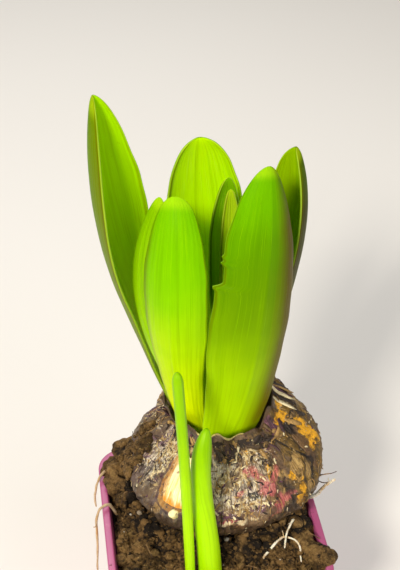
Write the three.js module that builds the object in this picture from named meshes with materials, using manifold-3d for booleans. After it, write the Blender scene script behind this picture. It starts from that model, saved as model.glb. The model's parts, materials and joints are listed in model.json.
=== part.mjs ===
// A hyacinth bulb coming into leaf in a small square nursery pot.
// Millimetres, +Z up, origin at the centre of the pot's underside, sides of the pot along X and Y.
import * as THREE from "three";
import { mergeVertices } from "three/addons/utils/BufferGeometryUtils.js";
import Module from "manifold-3d";

const wasm = await Module();
wasm.setup();

// ---------- driving dimensions ----------

const GAP = 0.35; // clearance between pieces that touch in life
const POT = { rim: 70, foot: 50, height: 64, corner: 9.5, wall: 1.6, floor: 1.8, band: 7, step: 1 };
const DRAIN = { radius: 3, offset: 13 }; // one hole towards each corner of the floor
const SOIL_LEVEL = 60.5;
const BULB_X = 6.3; // the bulb stands a little right of the pot's middle
// The opening that the leaves come out of, its tilt, and the narrow end of the socket under it.
const NECK = { x: 5.2, y: 19.6, z: 99, radius: 17.1, lean: 0.12, wall: 1.3 };
const SOCKET = { x: 5.5, y: 19, z: 83, radius: 15.6 };

// Each leaf: four points of its midrib (from the root), the way its outer face looks at the root and at
// the tip, its width, where it is widest, the width at its root as a share, how blunt its tip is, and how
// far its section curls inwards at the root, the middle and the tip. fold is 1 for a round channel and
// less for a fold at the midrib. The last value is its green.
const LEAVES = {
  leaf_front_right: {
    rib: [[4.8, 8.8, 84], [10.7, 0.2, 118], [14.8, -1, 156], [16.5, 8, 190]],
    faces: [282, 290], width: 30, widest: 0.55, base: 0.59, blunt: 0.6, curl: [14, 52, 60], fold: 1,
    colour: 0x88c808,
  },
  leaf_front_left: {
    rib: [[-2.6, 15.2, 84], [-9.8, 4.9, 120], [-12, -1.7, 153], [-9.3, 9, 182]],
    faces: [240, 250], width: 21.8, widest: 0.62, base: 0.47, blunt: 0.39, curl: [30, 58, 58], fold: 1,
    colour: 0x96dc04,
  },
  leaf_left_inner: {
    rib: [[-1.6, 18.6, 86], [-12.2, 15, 116], [-19, 13.4, 147], [-12.3, 17, 177]],
    faces: [226, 206], width: 16.6, widest: 0.55, base: 0.4, blunt: 0.5, curl: [40, 50, 55], fold: 1,
    colour: 0x9ad403,
  },
  leaf_left_tall: {
    rib: [[-4.6, 23.4, 84], [-18.4, 29.4, 121], [-28.4, 29.8, 162], [-29.1, 26, 205.5]],
    faces: [162, 142], width: 31, widest: 0.6, base: 0.33, blunt: 0.62, curl: [16, 50, 74], fold: 0.5,
    colour: 0x76b002,
  },
  leaf_back: {
    rib: [[4.5, 30, 84], [5, 39, 120], [3.2, 40, 155], [0.9, 33.5, 186]],
    faces: [95, 92], width: 26, widest: 0.6, base: 0.56, blunt: 0.42, curl: [38, 34, 40], fold: 1,
    colour: 0xa2e305,
  },
  leaf_right_back: {
    rib: [[16.4, 20.5, 84], [22.8, 23.5, 118], [29.4, 24, 154], [27.9, 26, 185]],
    faces: [8, 33], width: 25, widest: 0.55, base: 0.66, blunt: 0.45, curl: [44, 64, 70], fold: 0.5,
    colour: 0x64a000,
  },
  leaf_heart_outer: {
    rib: [[6.5, 25, 86], [9.5, 29, 118], [8.5, 30, 148], [8.3, 25, 177]],
    faces: [90, 95], width: 13, widest: 0.5, base: 0.5, blunt: 0.5, curl: [50, 45, 50], fold: 1,
    colour: 0x90c80c,
  },
  leaf_heart_inner: {
    rib: [[6.5, 18.5, 86], [9.2, 22, 118], [9.2, 22.5, 148], [8.2, 20, 176]],
    faces: [85, 80], width: 8.5, widest: 0.5, base: 0.6, blunt: 0.5, curl: [50, 55, 60], fold: 1,
    colour: 0xb4e628,
  },
};
const BLADE = { rib: 2, margin: 0.8, tipThinning: 0.4, tipSwell: 2.2, rows: 16, columns: 8 };

// Rows of the bulb from the base plate to the neck: height, radius, how far back the middle is, and the
// row's lean (how much it rises from front to back).
const BULB_ROWS = [
  [50, 8, 10, 0],
  [55, 15, 10, 0],
  [61, 18.5, 10, 0],
  [66, 22.5, 10.5, 0],
  [72, 28.3, 11.3, 0.03],
  [79, 31, 12.3, 0.06],
  [85, 29.4, 13.8, 0.08],
  [90, 25.6, 15.6, 0.1],
  [94.5, 21.2, 17.6, 0.12],
];
const BULB_AROUND = 48;
const BULB_LEVELS = 16;
const BULB_CLEARANCE = 1; // the hollow that the bulb presses into the soil is this much wider
// Where the skin has split: its middle and half size, as a turn in degrees and a share of the bulb's
// height, and its depth.
const SPLIT = { angle: 232, v: 0.83, halfAngle: 11, halfV: 0.155, depth: 2.9 };
const SCALE = { low: -2.5, high: -0.6 }; // the pale scale in the split, as heights over the skin
const FLAKES = [
  { angle: -6, v: 0.82, length: 9, width: 6, lift: 2, twist: 10 },
  { angle: -20, v: 0.86, length: 8, width: 5, lift: 2, twist: -15 },
  { angle: 12, v: 0.84, length: 9, width: 7, lift: 2.5, twist: 5 },
  { angle: 60, v: 0.84, length: 7, width: 7, lift: 2, twist: 12 },
  { angle: 118, v: 0.84, length: 7, width: 8, lift: 2, twist: -8 },
  { angle: 168, v: 0.85, length: 6, width: 5, lift: 2, twist: 14 },
  { angle: 205, v: 0.9, length: 5, width: 4, lift: 1.5, twist: -12 },
  { angle: 251, v: 0.9, length: 5, width: 3.5, lift: 1.6, twist: 20 },
];

// Two bare shoots in front of the bulb: where each runs and how thick it is.
const SHOOTS = {
  shoot_thin: {
    route: [[-10.2, -27, 54], [-10.4, -25.5, 72], [-10.8, -22, 98], [-11.3, -18.5, 118], [-12.1, -14, 139]],
    radius: 1.65,
  },
  shoot_thick: {
    route: [[-3.4, -24.5, 54], [-4.2, -22.5, 74], [-5.7, -18.5, 94], [-5.4, -15.5, 106], [-3.4, -12.5, 115]],
    radius: 3.1,
  },
};

// Pale roots that have come out of the soil and over the rim.
const ROOTS = {
  root_right: {
    route: [[27, 2, 57], [31, 1.5, 64.5], [35.5, 1.5, 66.6], [39, 4, 67.5], [43, 6, 68]],
    radius: 0.65,
  },
  root_front: {
    route: [[27, -7, 57], [26.8, -7.4, 63], [25.2, -9.5, 66.6], [22.4, -14, 66.6], [20.4, -19.5, 66]],
    radius: 0.6,
  },
  root_loop: {
    route: [[13, -18, 58], [16.5, -17.5, 64], [21.5, -14.3, 64.6], [25.5, -17.5, 64], [26, -21, 58]],
    radius: 0.5,
  },
  root_left_hook: {
    route: [[-30, 26, 58], [-32.6, 23, 65.5], [-35.2, 20, 65.6], [-37, 17.5, 61], [-36.9, 15, 57]],
    radius: 0.55,
  },
  root_left_hanging: {
    route: [[-30, 9, 58], [-33, 8, 65.4], [-36.2, 6, 65], [-37.6, 1, 56], [-38.3, -2, 44]],
    radius: 0.55,
  },
  root_small: {
    route: [[-22.5, 27, 60], [-22.3, 25, 68.5], [-22.6, 21, 69.5], [-23.6, 18.5, 62]],
    radius: 0.6,
  },
};

// Rings of the soil's surface from the pot's wall inwards, as shares of the opening.
const SOIL_RINGS = [0.97, 0.91, 0.84, 0.77, 0.69, 0.6, 0.5, 0.36, 0.18];
// Clods heaped against the rim, some of them lying over it: middle and size.
const CLODS = [
  { at: [-29, 19.5, 62.5], size: 5.5 },
  { at: [-27.5, 26, 63], size: 5 },
  { at: [-26, 12.5, 61.5], size: 4.5 },
  { at: [-24, 28, 65], size: 5 },
  { at: [-18, 30.5, 65], size: 4.5 },
  { at: [32, -20.5, 62.3], size: 5.2 },
  { at: [27, -14, 63], size: 5 },
  { at: [29, -8, 62], size: 4.5 },
];
const LOOSE_CLODS = { count: 20, least: 1.8, most: 3.6, spread: 30 };

// ---------- helpers ----------

const degrees = THREE.MathUtils.degToRad;
const mix = THREE.MathUtils.lerp;
const smooth = (x) => THREE.MathUtils.smoothstep(x, 0, 1);
const bell = (x, width) => Math.exp(-((x / width) ** 2));
const vectors = (rows) => rows.map((row) => new THREE.Vector3(...row));

// A number between 0 and 1 that always comes out the same for the same seed.
const draw = (seed) => THREE.MathUtils.euclideanModulo(Math.sin(seed * 127.1 + 11.7) * 43758.5453, 1);

// A ring of points, one for each of "count" equal turns.
const ringOf = (count, at) => Array.from({ length: count }, (_, j) => at((j / count) * 2 * Math.PI));

// The one cubic that passes through four points, at t = 0, 1/3, 2/3 and 1, with its slope.
function cubicThrough([p0, p1, p2, p3], t) {
  const sum = (a, b, c, d) =>
    new THREE.Vector3()
      .addScaledVector(p0, a)
      .addScaledVector(p1, b)
      .addScaledVector(p2, c)
      .addScaledVector(p3, d);
  const linear = sum(-5.5, 9, -4.5, 1);
  const square = sum(9, -22.5, 18, -4.5);
  const cube = sum(-4.5, 13.5, -13.5, 4.5);
  const point = p0
    .clone()
    .addScaledVector(linear, t)
    .addScaledVector(square, t * t)
    .addScaledVector(cube, t ** 3);
  const slope = linear.addScaledVector(square, 2 * t).addScaledVector(cube, 3 * t * t);
  return { point, slope };
}

// The triangles of a closed end: each edge of the ring that starts at "first" joins the ring's middle.
function cap(points, first, around, turned) {
  const middle = new THREE.Vector3();
  for (let j = 0; j < around; j++) middle.addScaledVector(points[first + j], 1 / around);
  const centre = points.push(middle) - 1;
  return Array.from({ length: around }, (_, j) => {
    const pair = [first + j, first + ((j + 1) % around)];
    if (turned) pair.reverse();
    return [...pair, centre];
  });
}

// A closed body from rings of equal length: each ring joins the next. The first and the last ring are
// capped, or join each other when the body is itself a ring.
function loft(rings, isRing = false) {
  const around = rings[0].length;
  const points = rings.flat();
  const faces = [];
  for (let i = 0; i < rings.length - (isRing ? 0 : 1); i++) {
    const here = i * around;
    const next = ((i + 1) % rings.length) * around;
    for (let j = 0; j < around; j++) {
      const k = (j + 1) % around;
      faces.push([here + j, here + k, next + k], [here + j, next + k, next + j]);
    }
  }
  if (!isRing) {
    const last = points.length - around;
    faces.push(...cap(points, 0, around, true), ...cap(points, last, around, false));
  }
  const places = new THREE.Float32BufferAttribute(points.flatMap((p) => p.toArray()), 3);
  return new THREE.BufferGeometry().setAttribute("position", places).setIndex(faces.flat());
}

// A round stem along a curve, its radius given along the way. "crowd" over 1 puts more rows near the tip.
function stem(route, radiusAt, rows, sides, crowd = 1) {
  const curve = new THREE.CatmullRomCurve3(vectors(route));
  const rings = [];
  for (let i = 0; i <= rows; i++) {
    const t = 1 - (1 - i / rows) ** crowd;
    const centre = curve.getPoint(t);
    const along = curve.getTangent(t);
    const side = new THREE.Vector3(0, 0, 1).cross(along).normalize();
    const up = along.clone().cross(side);
    const radius = radiusAt(t);
    const at = (a) =>
      centre
        .clone()
        .addScaledVector(side, radius * Math.cos(a))
        .addScaledVector(up, radius * Math.sin(a));
    rings.push(ringOf(sides, at));
  }
  return loft(rings);
}

// ---------- booleans ----------

function solidOf(geometry) {
  const merged = mergeVertices(geometry, 1e-4);
  const mesh = new wasm.Mesh({
    numProp: 3,
    vertProperties: merged.attributes.position.array,
    triVerts: new Uint32Array(merged.index.array),
  });
  return new wasm.Manifold(mesh);
}

function geometryOf(solid) {
  const mesh = solid.getMesh();
  const geometry = new THREE.BufferGeometry();
  geometry.setAttribute("position", new THREE.BufferAttribute(mesh.vertProperties, mesh.numProp));
  geometry.setIndex(new THREE.BufferAttribute(mesh.triVerts, 1));
  return geometry;
}

const joined = (geometries) => geometries.map(solidOf).reduce((whole, piece) => whole.add(piece));
const without = (solid, geometries) =>
  geometries.reduce((left, geometry) => left.subtract(solidOf(geometry)), solid);

// The largest body of a solid; the crumbs that a cut leaves are dropped.
const largest = (solid) => solid.decompose().reduce((a, b) => (a.volume() > b.volume() ? a : b));

// ---------- leaves ----------

// Half the blade's width at t, from root to tip: it swells to its widest and ends in a round or
// drawn-out tip.
function halfWidth(leaf, t) {
  if (t < leaf.widest) return (leaf.width / 2) * mix(leaf.base, 1, smooth(t / leaf.widest));
  const q = (t - leaf.widest) / (1 - leaf.widest);
  return (leaf.width / 2) * Math.max(1 - q ** BLADE.tipSwell, 0) ** leaf.blunt;
}

// How far the section leans inwards at its margins, in radians, from root through middle to tip.
function curlAt(leaf, t) {
  const [root, middle, tip] = leaf.curl;
  return degrees(t < 0.5 ? mix(root, middle, smooth(t * 2)) : mix(middle, tip, smooth(t * 2 - 1)));
}

// The midrib's place at t with the leaf's own directions there.
function ribFrame(leaf, t) {
  const { point, slope } = cubicThrough(vectors(leaf.rib), t);
  const along = slope.normalize();
  const look = degrees(mix(leaf.faces[0], leaf.faces[1], smooth(t)));
  const out = new THREE.Vector3(Math.cos(look), Math.sin(look), 0);
  out.addScaledVector(along, -out.dot(along)).normalize();
  return { point, out, right: along.clone().cross(out) };
}

// One half of the section at t, from the midrib (s = 0) to a margin (s = 1): the lean grows with s, and
// the blade follows the lean, in short steps.
function halfSection(leaf, t, sign) {
  const { point, out, right } = ribFrame(leaf, t);
  const curl = curlAt(leaf, t);
  const fold = mix(1, leaf.fold, smooth(t * 3));
  const stepsPerColumn = 8;
  const steps = (BLADE.columns / 2) * stepsPerColumn;
  const row = [];
  for (let k = 0; k <= steps; k++) {
    const s = k / steps;
    const lean = curl * s ** fold;
    const normal = out.clone().multiplyScalar(Math.cos(lean));
    normal.addScaledVector(right, sign * Math.sin(lean));
    if (k % stepsPerColumn === 0) row.push({ s, point: point.clone(), normal });
    const ahead = curl * (s + 0.5 / steps) ** fold;
    const step = halfWidth(leaf, t) / steps;
    point.addScaledVector(right, sign * step * Math.cos(ahead)).addScaledVector(out, -step * Math.sin(ahead));
  }
  return row;
}

// A blade with two faces: thick along the midrib, thin at the margins and towards the tip.
function leafBlade(leaf) {
  const rings = [];
  for (let i = 0; i <= BLADE.rows; i++) {
    const t = Math.sin(((i / BLADE.rows) * Math.PI) / 2) ** 1.15 * 0.998; // rows crowd towards the tip
    const row = [...halfSection(leaf, t, -1).reverse(), ...halfSection(leaf, t, 1).slice(1)];
    const rib = BLADE.rib * (1 - BLADE.tipThinning * t);
    const face = (side) =>
      row.map(({ s, point, normal }) => {
        const thick = mix(rib, BLADE.margin, s ** 2.2);
        return point.clone().addScaledVector(normal, (side * thick) / 2);
      });
    rings.push([...face(1), ...face(-1).reverse()]);
  }
  return loft(rings);
}

// ---------- the bulb ----------

// Lumps and lengthwise folds of the papery skin, in millimetres out from the plain onion shape.
function skinRelief(angle, v) {
  const cleft = 2.6 * bell(angle - degrees(243), 0.12) * smooth(v * 3) * (1 - 0.6 * v);
  const slump = 6.5 * Math.max(-Math.cos(angle - 0.1), 0) ** 2 * smooth(3.2 * v - 1.9);
  const lobes = 0.9 * Math.cos(2 * angle - 0.4) + 0.6 * Math.cos(3 * angle + 1.1);
  const folds = 0.22 * Math.sin(13 * angle + 2 * Math.sin(5 * v)) + 0.16 * Math.sin(23 * angle - 9 * v);
  const dents = 0.5 * Math.sin(7 * angle + 11 * v) * Math.sin(4 * angle - 14 * v);
  return (lobes + folds + dents) * smooth(v * 4) - cleft - slump;
}

// Height, radius, middle and lean at v, on a smooth curve through the rows.
function bulbRow(v) {
  const last = BULB_ROWS.length - 1;
  const i = Math.min(Math.floor(v * last), last - 1);
  const t = v * last - i;
  const near = [i - 1, i, i + 1, i + 2].map((k) => BULB_ROWS[THREE.MathUtils.clamp(k, 0, last)]);
  return near[0].map((_, column) => {
    const [a, b, c, d] = near.map((row) => row[column]);
    return b + 0.5 * t * (c - a + t * (2 * a - 5 * b + 4 * c - d + t * (3 * (b - c) + d - a)));
  });
}

// A point on the skin, "out" millimetres proud of it.
function bulbPoint(angle, v, out = 0) {
  const [height, radius, back, lean] = bulbRow(v);
  const r = radius + skinRelief(angle, v) + out;
  const y = r * Math.sin(angle);
  return new THREE.Vector3(BULB_X + r * Math.cos(angle), back + y, height + lean * y);
}

// The ragged papery edge round the neck.
const raggedEdge = (a) =>
  1.6 * Math.sin(5 * a + 1) * Math.sin(2 * a) + 1.1 * Math.sin(11 * a + 2) + 0.7 * Math.sin(17 * a);

function neckPoint(angle, radius, rise) {
  const y = radius * Math.sin(angle);
  return new THREE.Vector3(NECK.x + radius * Math.cos(angle), NECK.y + y, NECK.z + NECK.lean * y + rise);
}

// The whole skin: up the outside, over the ragged edge and down the socket that holds the leaves.
function bulbSkin() {
  const rings = [];
  for (let i = 0; i <= BULB_LEVELS; i++)
    rings.push(ringOf(BULB_AROUND, (a) => bulbPoint(a, i / BULB_LEVELS)));
  const neck = (radius, rise) => ringOf(BULB_AROUND, (a) => neckPoint(a, radius, rise(a)));
  rings.push(neck(NECK.radius + NECK.wall, (a) => raggedEdge(a) - 0.6));
  rings.push(neck(NECK.radius + NECK.wall / 2, raggedEdge));
  rings.push(neck(NECK.radius, (a) => raggedEdge(a) - 0.8));
  rings.push(neck(NECK.radius - 0.8, () => -7));
  const { x, y, z, radius } = SOCKET;
  const end = (a) => new THREE.Vector3(x + radius * Math.cos(a), y + radius * Math.sin(a), z);
  rings.push(ringOf(BULB_AROUND, end));
  return loft(rings);
}

// The lower bulb a little oversize: the hollow it presses into the soil.
function bulbPlug() {
  const levels = 8;
  const share = 0.7;
  const ring = (i) => ringOf(30, (a) => bulbPoint(a, (i / levels) * share, BULB_CLEARANCE));
  return loft(Array.from({ length: levels + 1 }, (_, i) => ring(i)));
}

// The place where the brown skin has split at the front, as a slab between two distances from the skin.
function splitSlab(low, high, shrink) {
  const halfAngle = SPLIT.halfAngle - 2 * shrink;
  const halfV = SPLIT.halfV - 0.02 * shrink;
  const ring = (share, out) =>
    ringOf(24, (a) => {
      const angle = SPLIT.angle + share * halfAngle * Math.cos(a) * (1 - 0.25 * Math.sin(a));
      return bulbPoint(degrees(angle), SPLIT.v + share * halfV * Math.sin(a), out);
    });
  const shares = [0.35, 0.7, 1];
  return loft([...shares.map((s) => ring(s, low)), ...shares.reverse().map((s) => ring(s, high))]);
}

// A dry flake of skin that stands up off the bulb; its root is sunk under the skin.
function flake({ angle, v, length, width, lift, twist }) {
  const root = bulbPoint(degrees(angle), v);
  const outward = bulbPoint(degrees(angle), v, 1).sub(root).normalize();
  const up = bulbPoint(degrees(angle), v + 0.05).sub(root).normalize();
  const across = up.clone().cross(outward).normalize();
  const sunk = 1.4;
  const rows = 5;
  const rings = [];
  for (let i = 0; i <= rows; i++) {
    const t = i / rows;
    const half = (width / 2) * (1 - 0.75 * t * t) * (1 + 0.15 * Math.sin(9 * t + angle));
    const side = across.clone().applyAxisAngle(up, degrees(twist) * t);
    const face = outward.clone().applyAxisAngle(up, degrees(twist) * t);
    const rise = sunk * (t - 1) + lift * t * t;
    const centre = root.clone().addScaledVector(up, t * length).addScaledVector(outward, rise);
    const thick = 0.6 - 0.15 * t;
    const at = (x, y) => centre.clone().addScaledVector(side, x).addScaledVector(face, y);
    rings.push([at(-half, thick), at(0, thick * 1.3), at(half, thick), at(half, -thick), at(-half, -thick)]);
  }
  return loft(rings);
}

const bulbBody = () =>
  without(joined([bulbSkin(), ...FLAKES.map(flake)]), [splitSlab(-SPLIT.depth, 6, 0)]);
const bulbScale = () => splitSlab(SCALE.low, SCALE.high, GAP);

// ---------- shoots and roots ----------

// Full width for most of the way, slimmer at the foot, and rounding in to a blunt tip.
function shoot({ route, radius }, out = 0) {
  const tip = radius * 2.2;
  const length = new THREE.CatmullRomCurve3(vectors(route)).getLength();
  const radiusAt = (t) => {
    const left = Math.min(((1 - t) * length) / tip, 1);
    return radius * mix(0.8, 1, smooth(t * 2)) * Math.sqrt(1 - (1 - left) ** 2 * 0.97) + out;
  };
  return stem(route, radiusAt, 14, 10, 2);
}

const root = ({ route, radius }, out = 0) => stem(route, (t) => radius * (1 - 0.45 * t) + out, 10, 6);

// ---------- pot ----------

// A square with round corners at height z: equal steps round each corner and along each side.
function squareRing(half, corner, z, perCorner = 6, perSide = 1) {
  const quarter = [];
  for (let k = 0; k < perCorner; k++) {
    const a = ((k / perCorner) * Math.PI) / 2;
    quarter.push([half - corner + corner * Math.cos(a), half - corner + corner * Math.sin(a), z]);
  }
  for (let k = 0; k < perSide; k++) quarter.push([mix(half - corner, corner - half, k / perSide), half, z]);
  const up = new THREE.Vector3(0, 0, 1);
  const turned = (side) => vectors(quarter).map((p) => p.applyAxisAngle(up, (side * Math.PI) / 2));
  return [0, 1, 2, 3].flatMap(turned);
}

// Half the width and the corner radius of the pot's wall at height z, under the rim band.
const wallHalf = (z) => mix(POT.foot / 2, POT.rim / 2 - POT.step, z / POT.height);
const wallCorner = (z) => mix(0.75, 1, z / POT.height) * POT.corner;

// The inside of the wall at height z, "clear" millimetres inwards of it.
const insideRing = (z, clear = 0, ...steps) =>
  squareRing(wallHalf(z) - POT.wall - clear, wallCorner(z) - POT.wall - clear, z, ...steps);
// The inner edge of the rim's flat top.
const lipRing = (z, clear = 0) =>
  squareRing(POT.rim / 2 - POT.step - POT.wall + 0.3 - clear, POT.corner - POT.wall - 0.7, z);

// A tapered pot with a band round its rim: up the outside, over the rim and down to the floor inside.
function potShell() {
  const bandFoot = POT.height - POT.band;
  const outer = (half, z) => squareRing(half, wallCorner(z), z);
  return loft([
    outer(wallHalf(0) - 0.6, 0),
    outer(wallHalf(0), 0.8),
    outer(wallHalf(bandFoot), bandFoot),
    outer(POT.rim / 2, bandFoot + 0.8),
    outer(POT.rim / 2, POT.height - 0.5),
    outer(POT.rim / 2 - 0.5, POT.height),
    lipRing(POT.height),
    insideRing(POT.height - 0.4),
    insideRing(POT.floor),
  ]);
}

// A hole through the floor towards each corner.
function drainHoles() {
  const sides = [-1, 1];
  return sides.flatMap((x) =>
    sides.map((y) => {
      const hole = new THREE.CylinderGeometry(DRAIN.radius, DRAIN.radius, 4 * POT.floor, 16);
      hole.deleteAttribute("normal");
      hole.deleteAttribute("uv");
      return hole.rotateX(Math.PI / 2).translate(x * DRAIN.offset, y * DRAIN.offset, 0);
    }),
  );
}

// The rim and the wall under it, oversize: what the clods that lie over the rim are cut clear of.
function rimClearance() {
  const low = POT.height - 12;
  const top = POT.height + GAP;
  const beyond = 6;
  const outer = (z) => squareRing(POT.rim / 2 + beyond, POT.corner + beyond, z);
  const clear = GAP - 0.05;
  const rings = [outer(low), outer(top), lipRing(top, clear), insideRing(POT.height - 0.4, clear)];
  return loft([...rings, insideRing(low, clear)], true);
}

// ---------- soil ----------

// The soil's surface: heaped against the bulb, crumbly, with a deep crack along the bulb's left.
function soilHeight(x, y) {
  const fromBulb = Math.max(Math.hypot(x - BULB_X, y - 11) - 23, 0);
  const heap = 7 * bell(fromBulb, 8);
  const swell = Math.sin(0.45 * x + 0.6 * y) * Math.sin(0.5 * y - 0.35 * x + 1);
  const crumb = 0.5 * Math.sin(0.7 * x - 0.4 * y + 2);
  const crack = -4 * bell(x + 22.5 + 0.35 * (y - 10), 1.6) * smooth(1.2 - Math.abs(y - 12) / 14);
  return SOIL_LEVEL + heap + swell + crumb + crack;
}

// A lump of soil, flattened a little and pushed out of round in a way of its own.
function clod({ at, size }, seed) {
  const ball = new THREE.IcosahedronGeometry(size, size > 4 ? 1 : 0);
  ball.deleteAttribute("normal");
  ball.deleteAttribute("uv");
  const lump = mergeVertices(ball, 1e-4);
  const places = lump.attributes.position;
  const p = new THREE.Vector3();
  for (let i = 0; i < places.count; i++) {
    p.fromBufferAttribute(places, i);
    const swell = 0.16 * Math.sin(1.9 * p.x + seed) + 0.13 * Math.sin(2.3 * p.y + 1.7 * p.z + 2 * seed);
    p.multiplyScalar(1 + swell);
    places.setXYZ(i, p.x + at[0], p.y + at[1], 0.75 * p.z + at[2]);
  }
  return lump;
}

// Small clods strewn over the soil, clear of the bulb.
function looseClods() {
  const { count, least, most, spread } = LOOSE_CLODS;
  const clods = [];
  for (let seed = 0; clods.length < count; seed++) {
    const x = mix(-spread, spread, draw(seed));
    const y = mix(-spread, spread, draw(seed + 0.37));
    if (Math.hypot(x - BULB_X, y - 11) < 26) continue;
    const size = mix(least, most, draw(seed + 0.71));
    clods.push({ at: [x, y, soilHeight(x, y) - 0.2 * size], size });
  }
  return clods;
}

// What fills the pot, with its heaped surface.
function soilFill() {
  const level = (z) => insideRing(z, GAP, 4, 6);
  const edge = level(SOIL_LEVEL);
  const drawnIn = (share) =>
    edge.map((p) => new THREE.Vector3(p.x * share, p.y * share, soilHeight(p.x * share, p.y * share)));
  return loft([level(POT.floor + GAP), level(SOIL_LEVEL - 1.5), ...SOIL_RINGS.map(drawnIn)]);
}

// The soil with its clods, cut clear of the rim, the bulb and all that stands in it.
function soilBody() {
  const heaped = joined([soilFill(), ...[...CLODS, ...looseClods()].map(clod)]);
  const standing = [
    ...Object.values(SHOOTS).map((item) => shoot(item, GAP)),
    ...Object.values(ROOTS).map((item) => root(item, GAP)),
  ];
  return largest(without(heaped, [rimClearance(), bulbPlug(), ...standing]));
}

// ---------- the plant ----------

const plant = new THREE.Group();

function add(name, geometry, color, roughness) {
  const mesh = new THREE.Mesh(geometry, new THREE.MeshStandardMaterial({ color, roughness, metalness: 0 }));
  mesh.name = name;
  plant.add(mesh);
}

for (const [name, leaf] of Object.entries(LEAVES)) add(name, leafBlade(leaf), leaf.colour, 0.35);
for (const [name, item] of Object.entries(SHOOTS)) add(name, shoot(item), 0xbee60a, 0.35);
for (const [name, item] of Object.entries(ROOTS)) add(name, root(item), 0xe8d2a8, 0.7);
add("bulb", geometryOf(bulbBody()), 0x7c6050, 0.75);
add("bulb_scale", bulbScale(), 0xfff0a0, 0.4);
add("pot", geometryOf(without(solidOf(potShell()), drainHoles())), 0xc4609a, 0.4);
add("soil", geometryOf(soilBody()), 0x5a432a, 0.95);

export default plant;
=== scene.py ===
# %% [markdown]
# # A hyacinth bulb coming into leaf
#
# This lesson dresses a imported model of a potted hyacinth: a square plastic nursery pot, soil, one bulb,
# eight leaves, two bare shoots and a few roots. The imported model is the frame. It holds each piece as a
# plain solid at its real size, in metres, standing on the floor at the origin. Each solid gets a finer
# surface of the same form here, worked out with numpy, and a finish made of shader nodes.

# %% Load the frame
import json

import bpy
import numpy as np
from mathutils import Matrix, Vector
from numpy import radians


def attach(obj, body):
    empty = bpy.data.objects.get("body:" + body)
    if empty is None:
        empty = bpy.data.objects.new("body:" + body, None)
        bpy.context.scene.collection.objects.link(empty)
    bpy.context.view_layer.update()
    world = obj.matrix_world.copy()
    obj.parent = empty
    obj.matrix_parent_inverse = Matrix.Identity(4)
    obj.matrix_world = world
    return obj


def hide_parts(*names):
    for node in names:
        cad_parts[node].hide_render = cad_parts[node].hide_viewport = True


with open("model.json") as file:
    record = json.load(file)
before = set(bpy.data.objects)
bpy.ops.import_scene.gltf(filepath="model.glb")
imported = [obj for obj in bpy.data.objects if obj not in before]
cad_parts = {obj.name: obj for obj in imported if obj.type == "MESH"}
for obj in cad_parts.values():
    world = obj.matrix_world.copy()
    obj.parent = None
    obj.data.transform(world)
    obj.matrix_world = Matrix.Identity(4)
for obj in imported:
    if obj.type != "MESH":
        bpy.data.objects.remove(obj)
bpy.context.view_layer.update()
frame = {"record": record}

MM = 0.001

# %% [markdown]
# ## Small tools
#
# The shapes below are worked out in millimetres as whole arrays. A few plain functions come back in all
# of them: an easing, a bell, a blend, and a noise that gives every point of space its own value. The
# noise is made by hashing the corners of a lattice, so the same point always gets the same value.

# %% Numbers
def smooth(x):
    """Eases from 0 to 1: x * x * (3 - 2 x), with x held between 0 and 1."""
    x = np.clip(x, 0, 1)
    return x * x * (3 - 2 * x)


def bell(x, width):
    """1 at x = 0, falling away on both sides: exp(-(x / width) squared)."""
    return np.exp(-((x / width) ** 2))


def mix(a, b, share):
    """a where share is 0, b where it is 1."""
    return a + (b - a) * share


def unit(vectors):
    """Each vector divided by its own length."""
    return vectors / np.linalg.norm(vectors, axis=-1, keepdims=True)


def ring(count):
    """Angles evenly round a circle, in radians."""
    return np.linspace(0, 2 * np.pi, count, endpoint=False)


def lattice(cell, seed):
    """A number from 0 to 1 for each whole-numbered cell: its three numbers are hashed with the seed."""
    i, j, k = (cell[..., axis].astype(np.int64) for axis in range(3))
    n = (i * 374761393 + j * 668265263 + k * 1274126177 + seed * 974711) & 0xFFFFFFFF
    n = ((n ^ (n >> 13)) * 1103515245) & 0xFFFFFFFF
    n = ((n ^ (n >> 16)) * 2246822519) & 0xFFFFFFFF
    return ((n ^ (n >> 15)) & 0xFFFFFF) / 0xFFFFFF


def noise(points, size, seed=0):
    """Soft lumps about "size" across, from 0 to 1: lattice values blended by easing between 8 corners."""
    at = points / size
    cell = np.floor(at)
    ease = smooth(at - cell)
    total = 0
    for corner in np.ndindex(2, 2, 2):
        share = np.prod(np.where(corner, ease, 1 - ease), axis=-1)
        total = total + share * lattice(cell + corner, seed)
    return total


def fractal(points, size, octaves=3, seed=0):
    """Lumps with smaller lumps on them: each octave is half the size and half the height."""
    heights = [0.5**n for n in range(octaves)]
    layers = [h * noise(points, size * 0.5**n, seed + n) for n, h in enumerate(heights)]
    return sum(layers) / sum(heights)


twice = np.array([[1.0, 2.0, 3.0], [1.0, 2.0, 3.0]])
print("the noise at the same point, twice:", noise(twice, 4).round(4))


# %% [markdown]
# ## From arrays to a mesh
#
# A surface is a grid of points, one row after another. Its faces are found from the grid's own indices:
# each point with its neighbours to the right and in the next row makes a quad. A ring closes on itself,
# and an end is closed by a fan of triangles round one more point. A Part keeps the points, the faces and
# what is measured at each point, and several parts can go into one mesh.

# %% Parts
class Part:
    """Points in millimetres, faces as index arrays, a UV for each point and named measures."""

    def __init__(self, points, faces, uv=None, **measures):
        self.points = np.asarray(points, float).reshape(-1, 3)
        self.faces = faces
        self.uv = np.zeros((len(self.points), 2)) if uv is None else np.asarray(uv, float).reshape(-1, 2)
        self.measures = {name: np.asarray(value, float).ravel() for name, value in measures.items()}


def grid_faces(rows, columns, closed=True):
    """Quads between each row and the next; closed joins a row's last point to its first."""
    i = np.arange(rows - 1)[:, None]
    j = np.arange(columns if closed else columns - 1)[None, :]
    here, right = i * columns + j, i * columns + (j + 1) % columns
    return np.stack([here, right, right + columns, here + columns], axis=-1).reshape(-1, 4)


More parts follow.
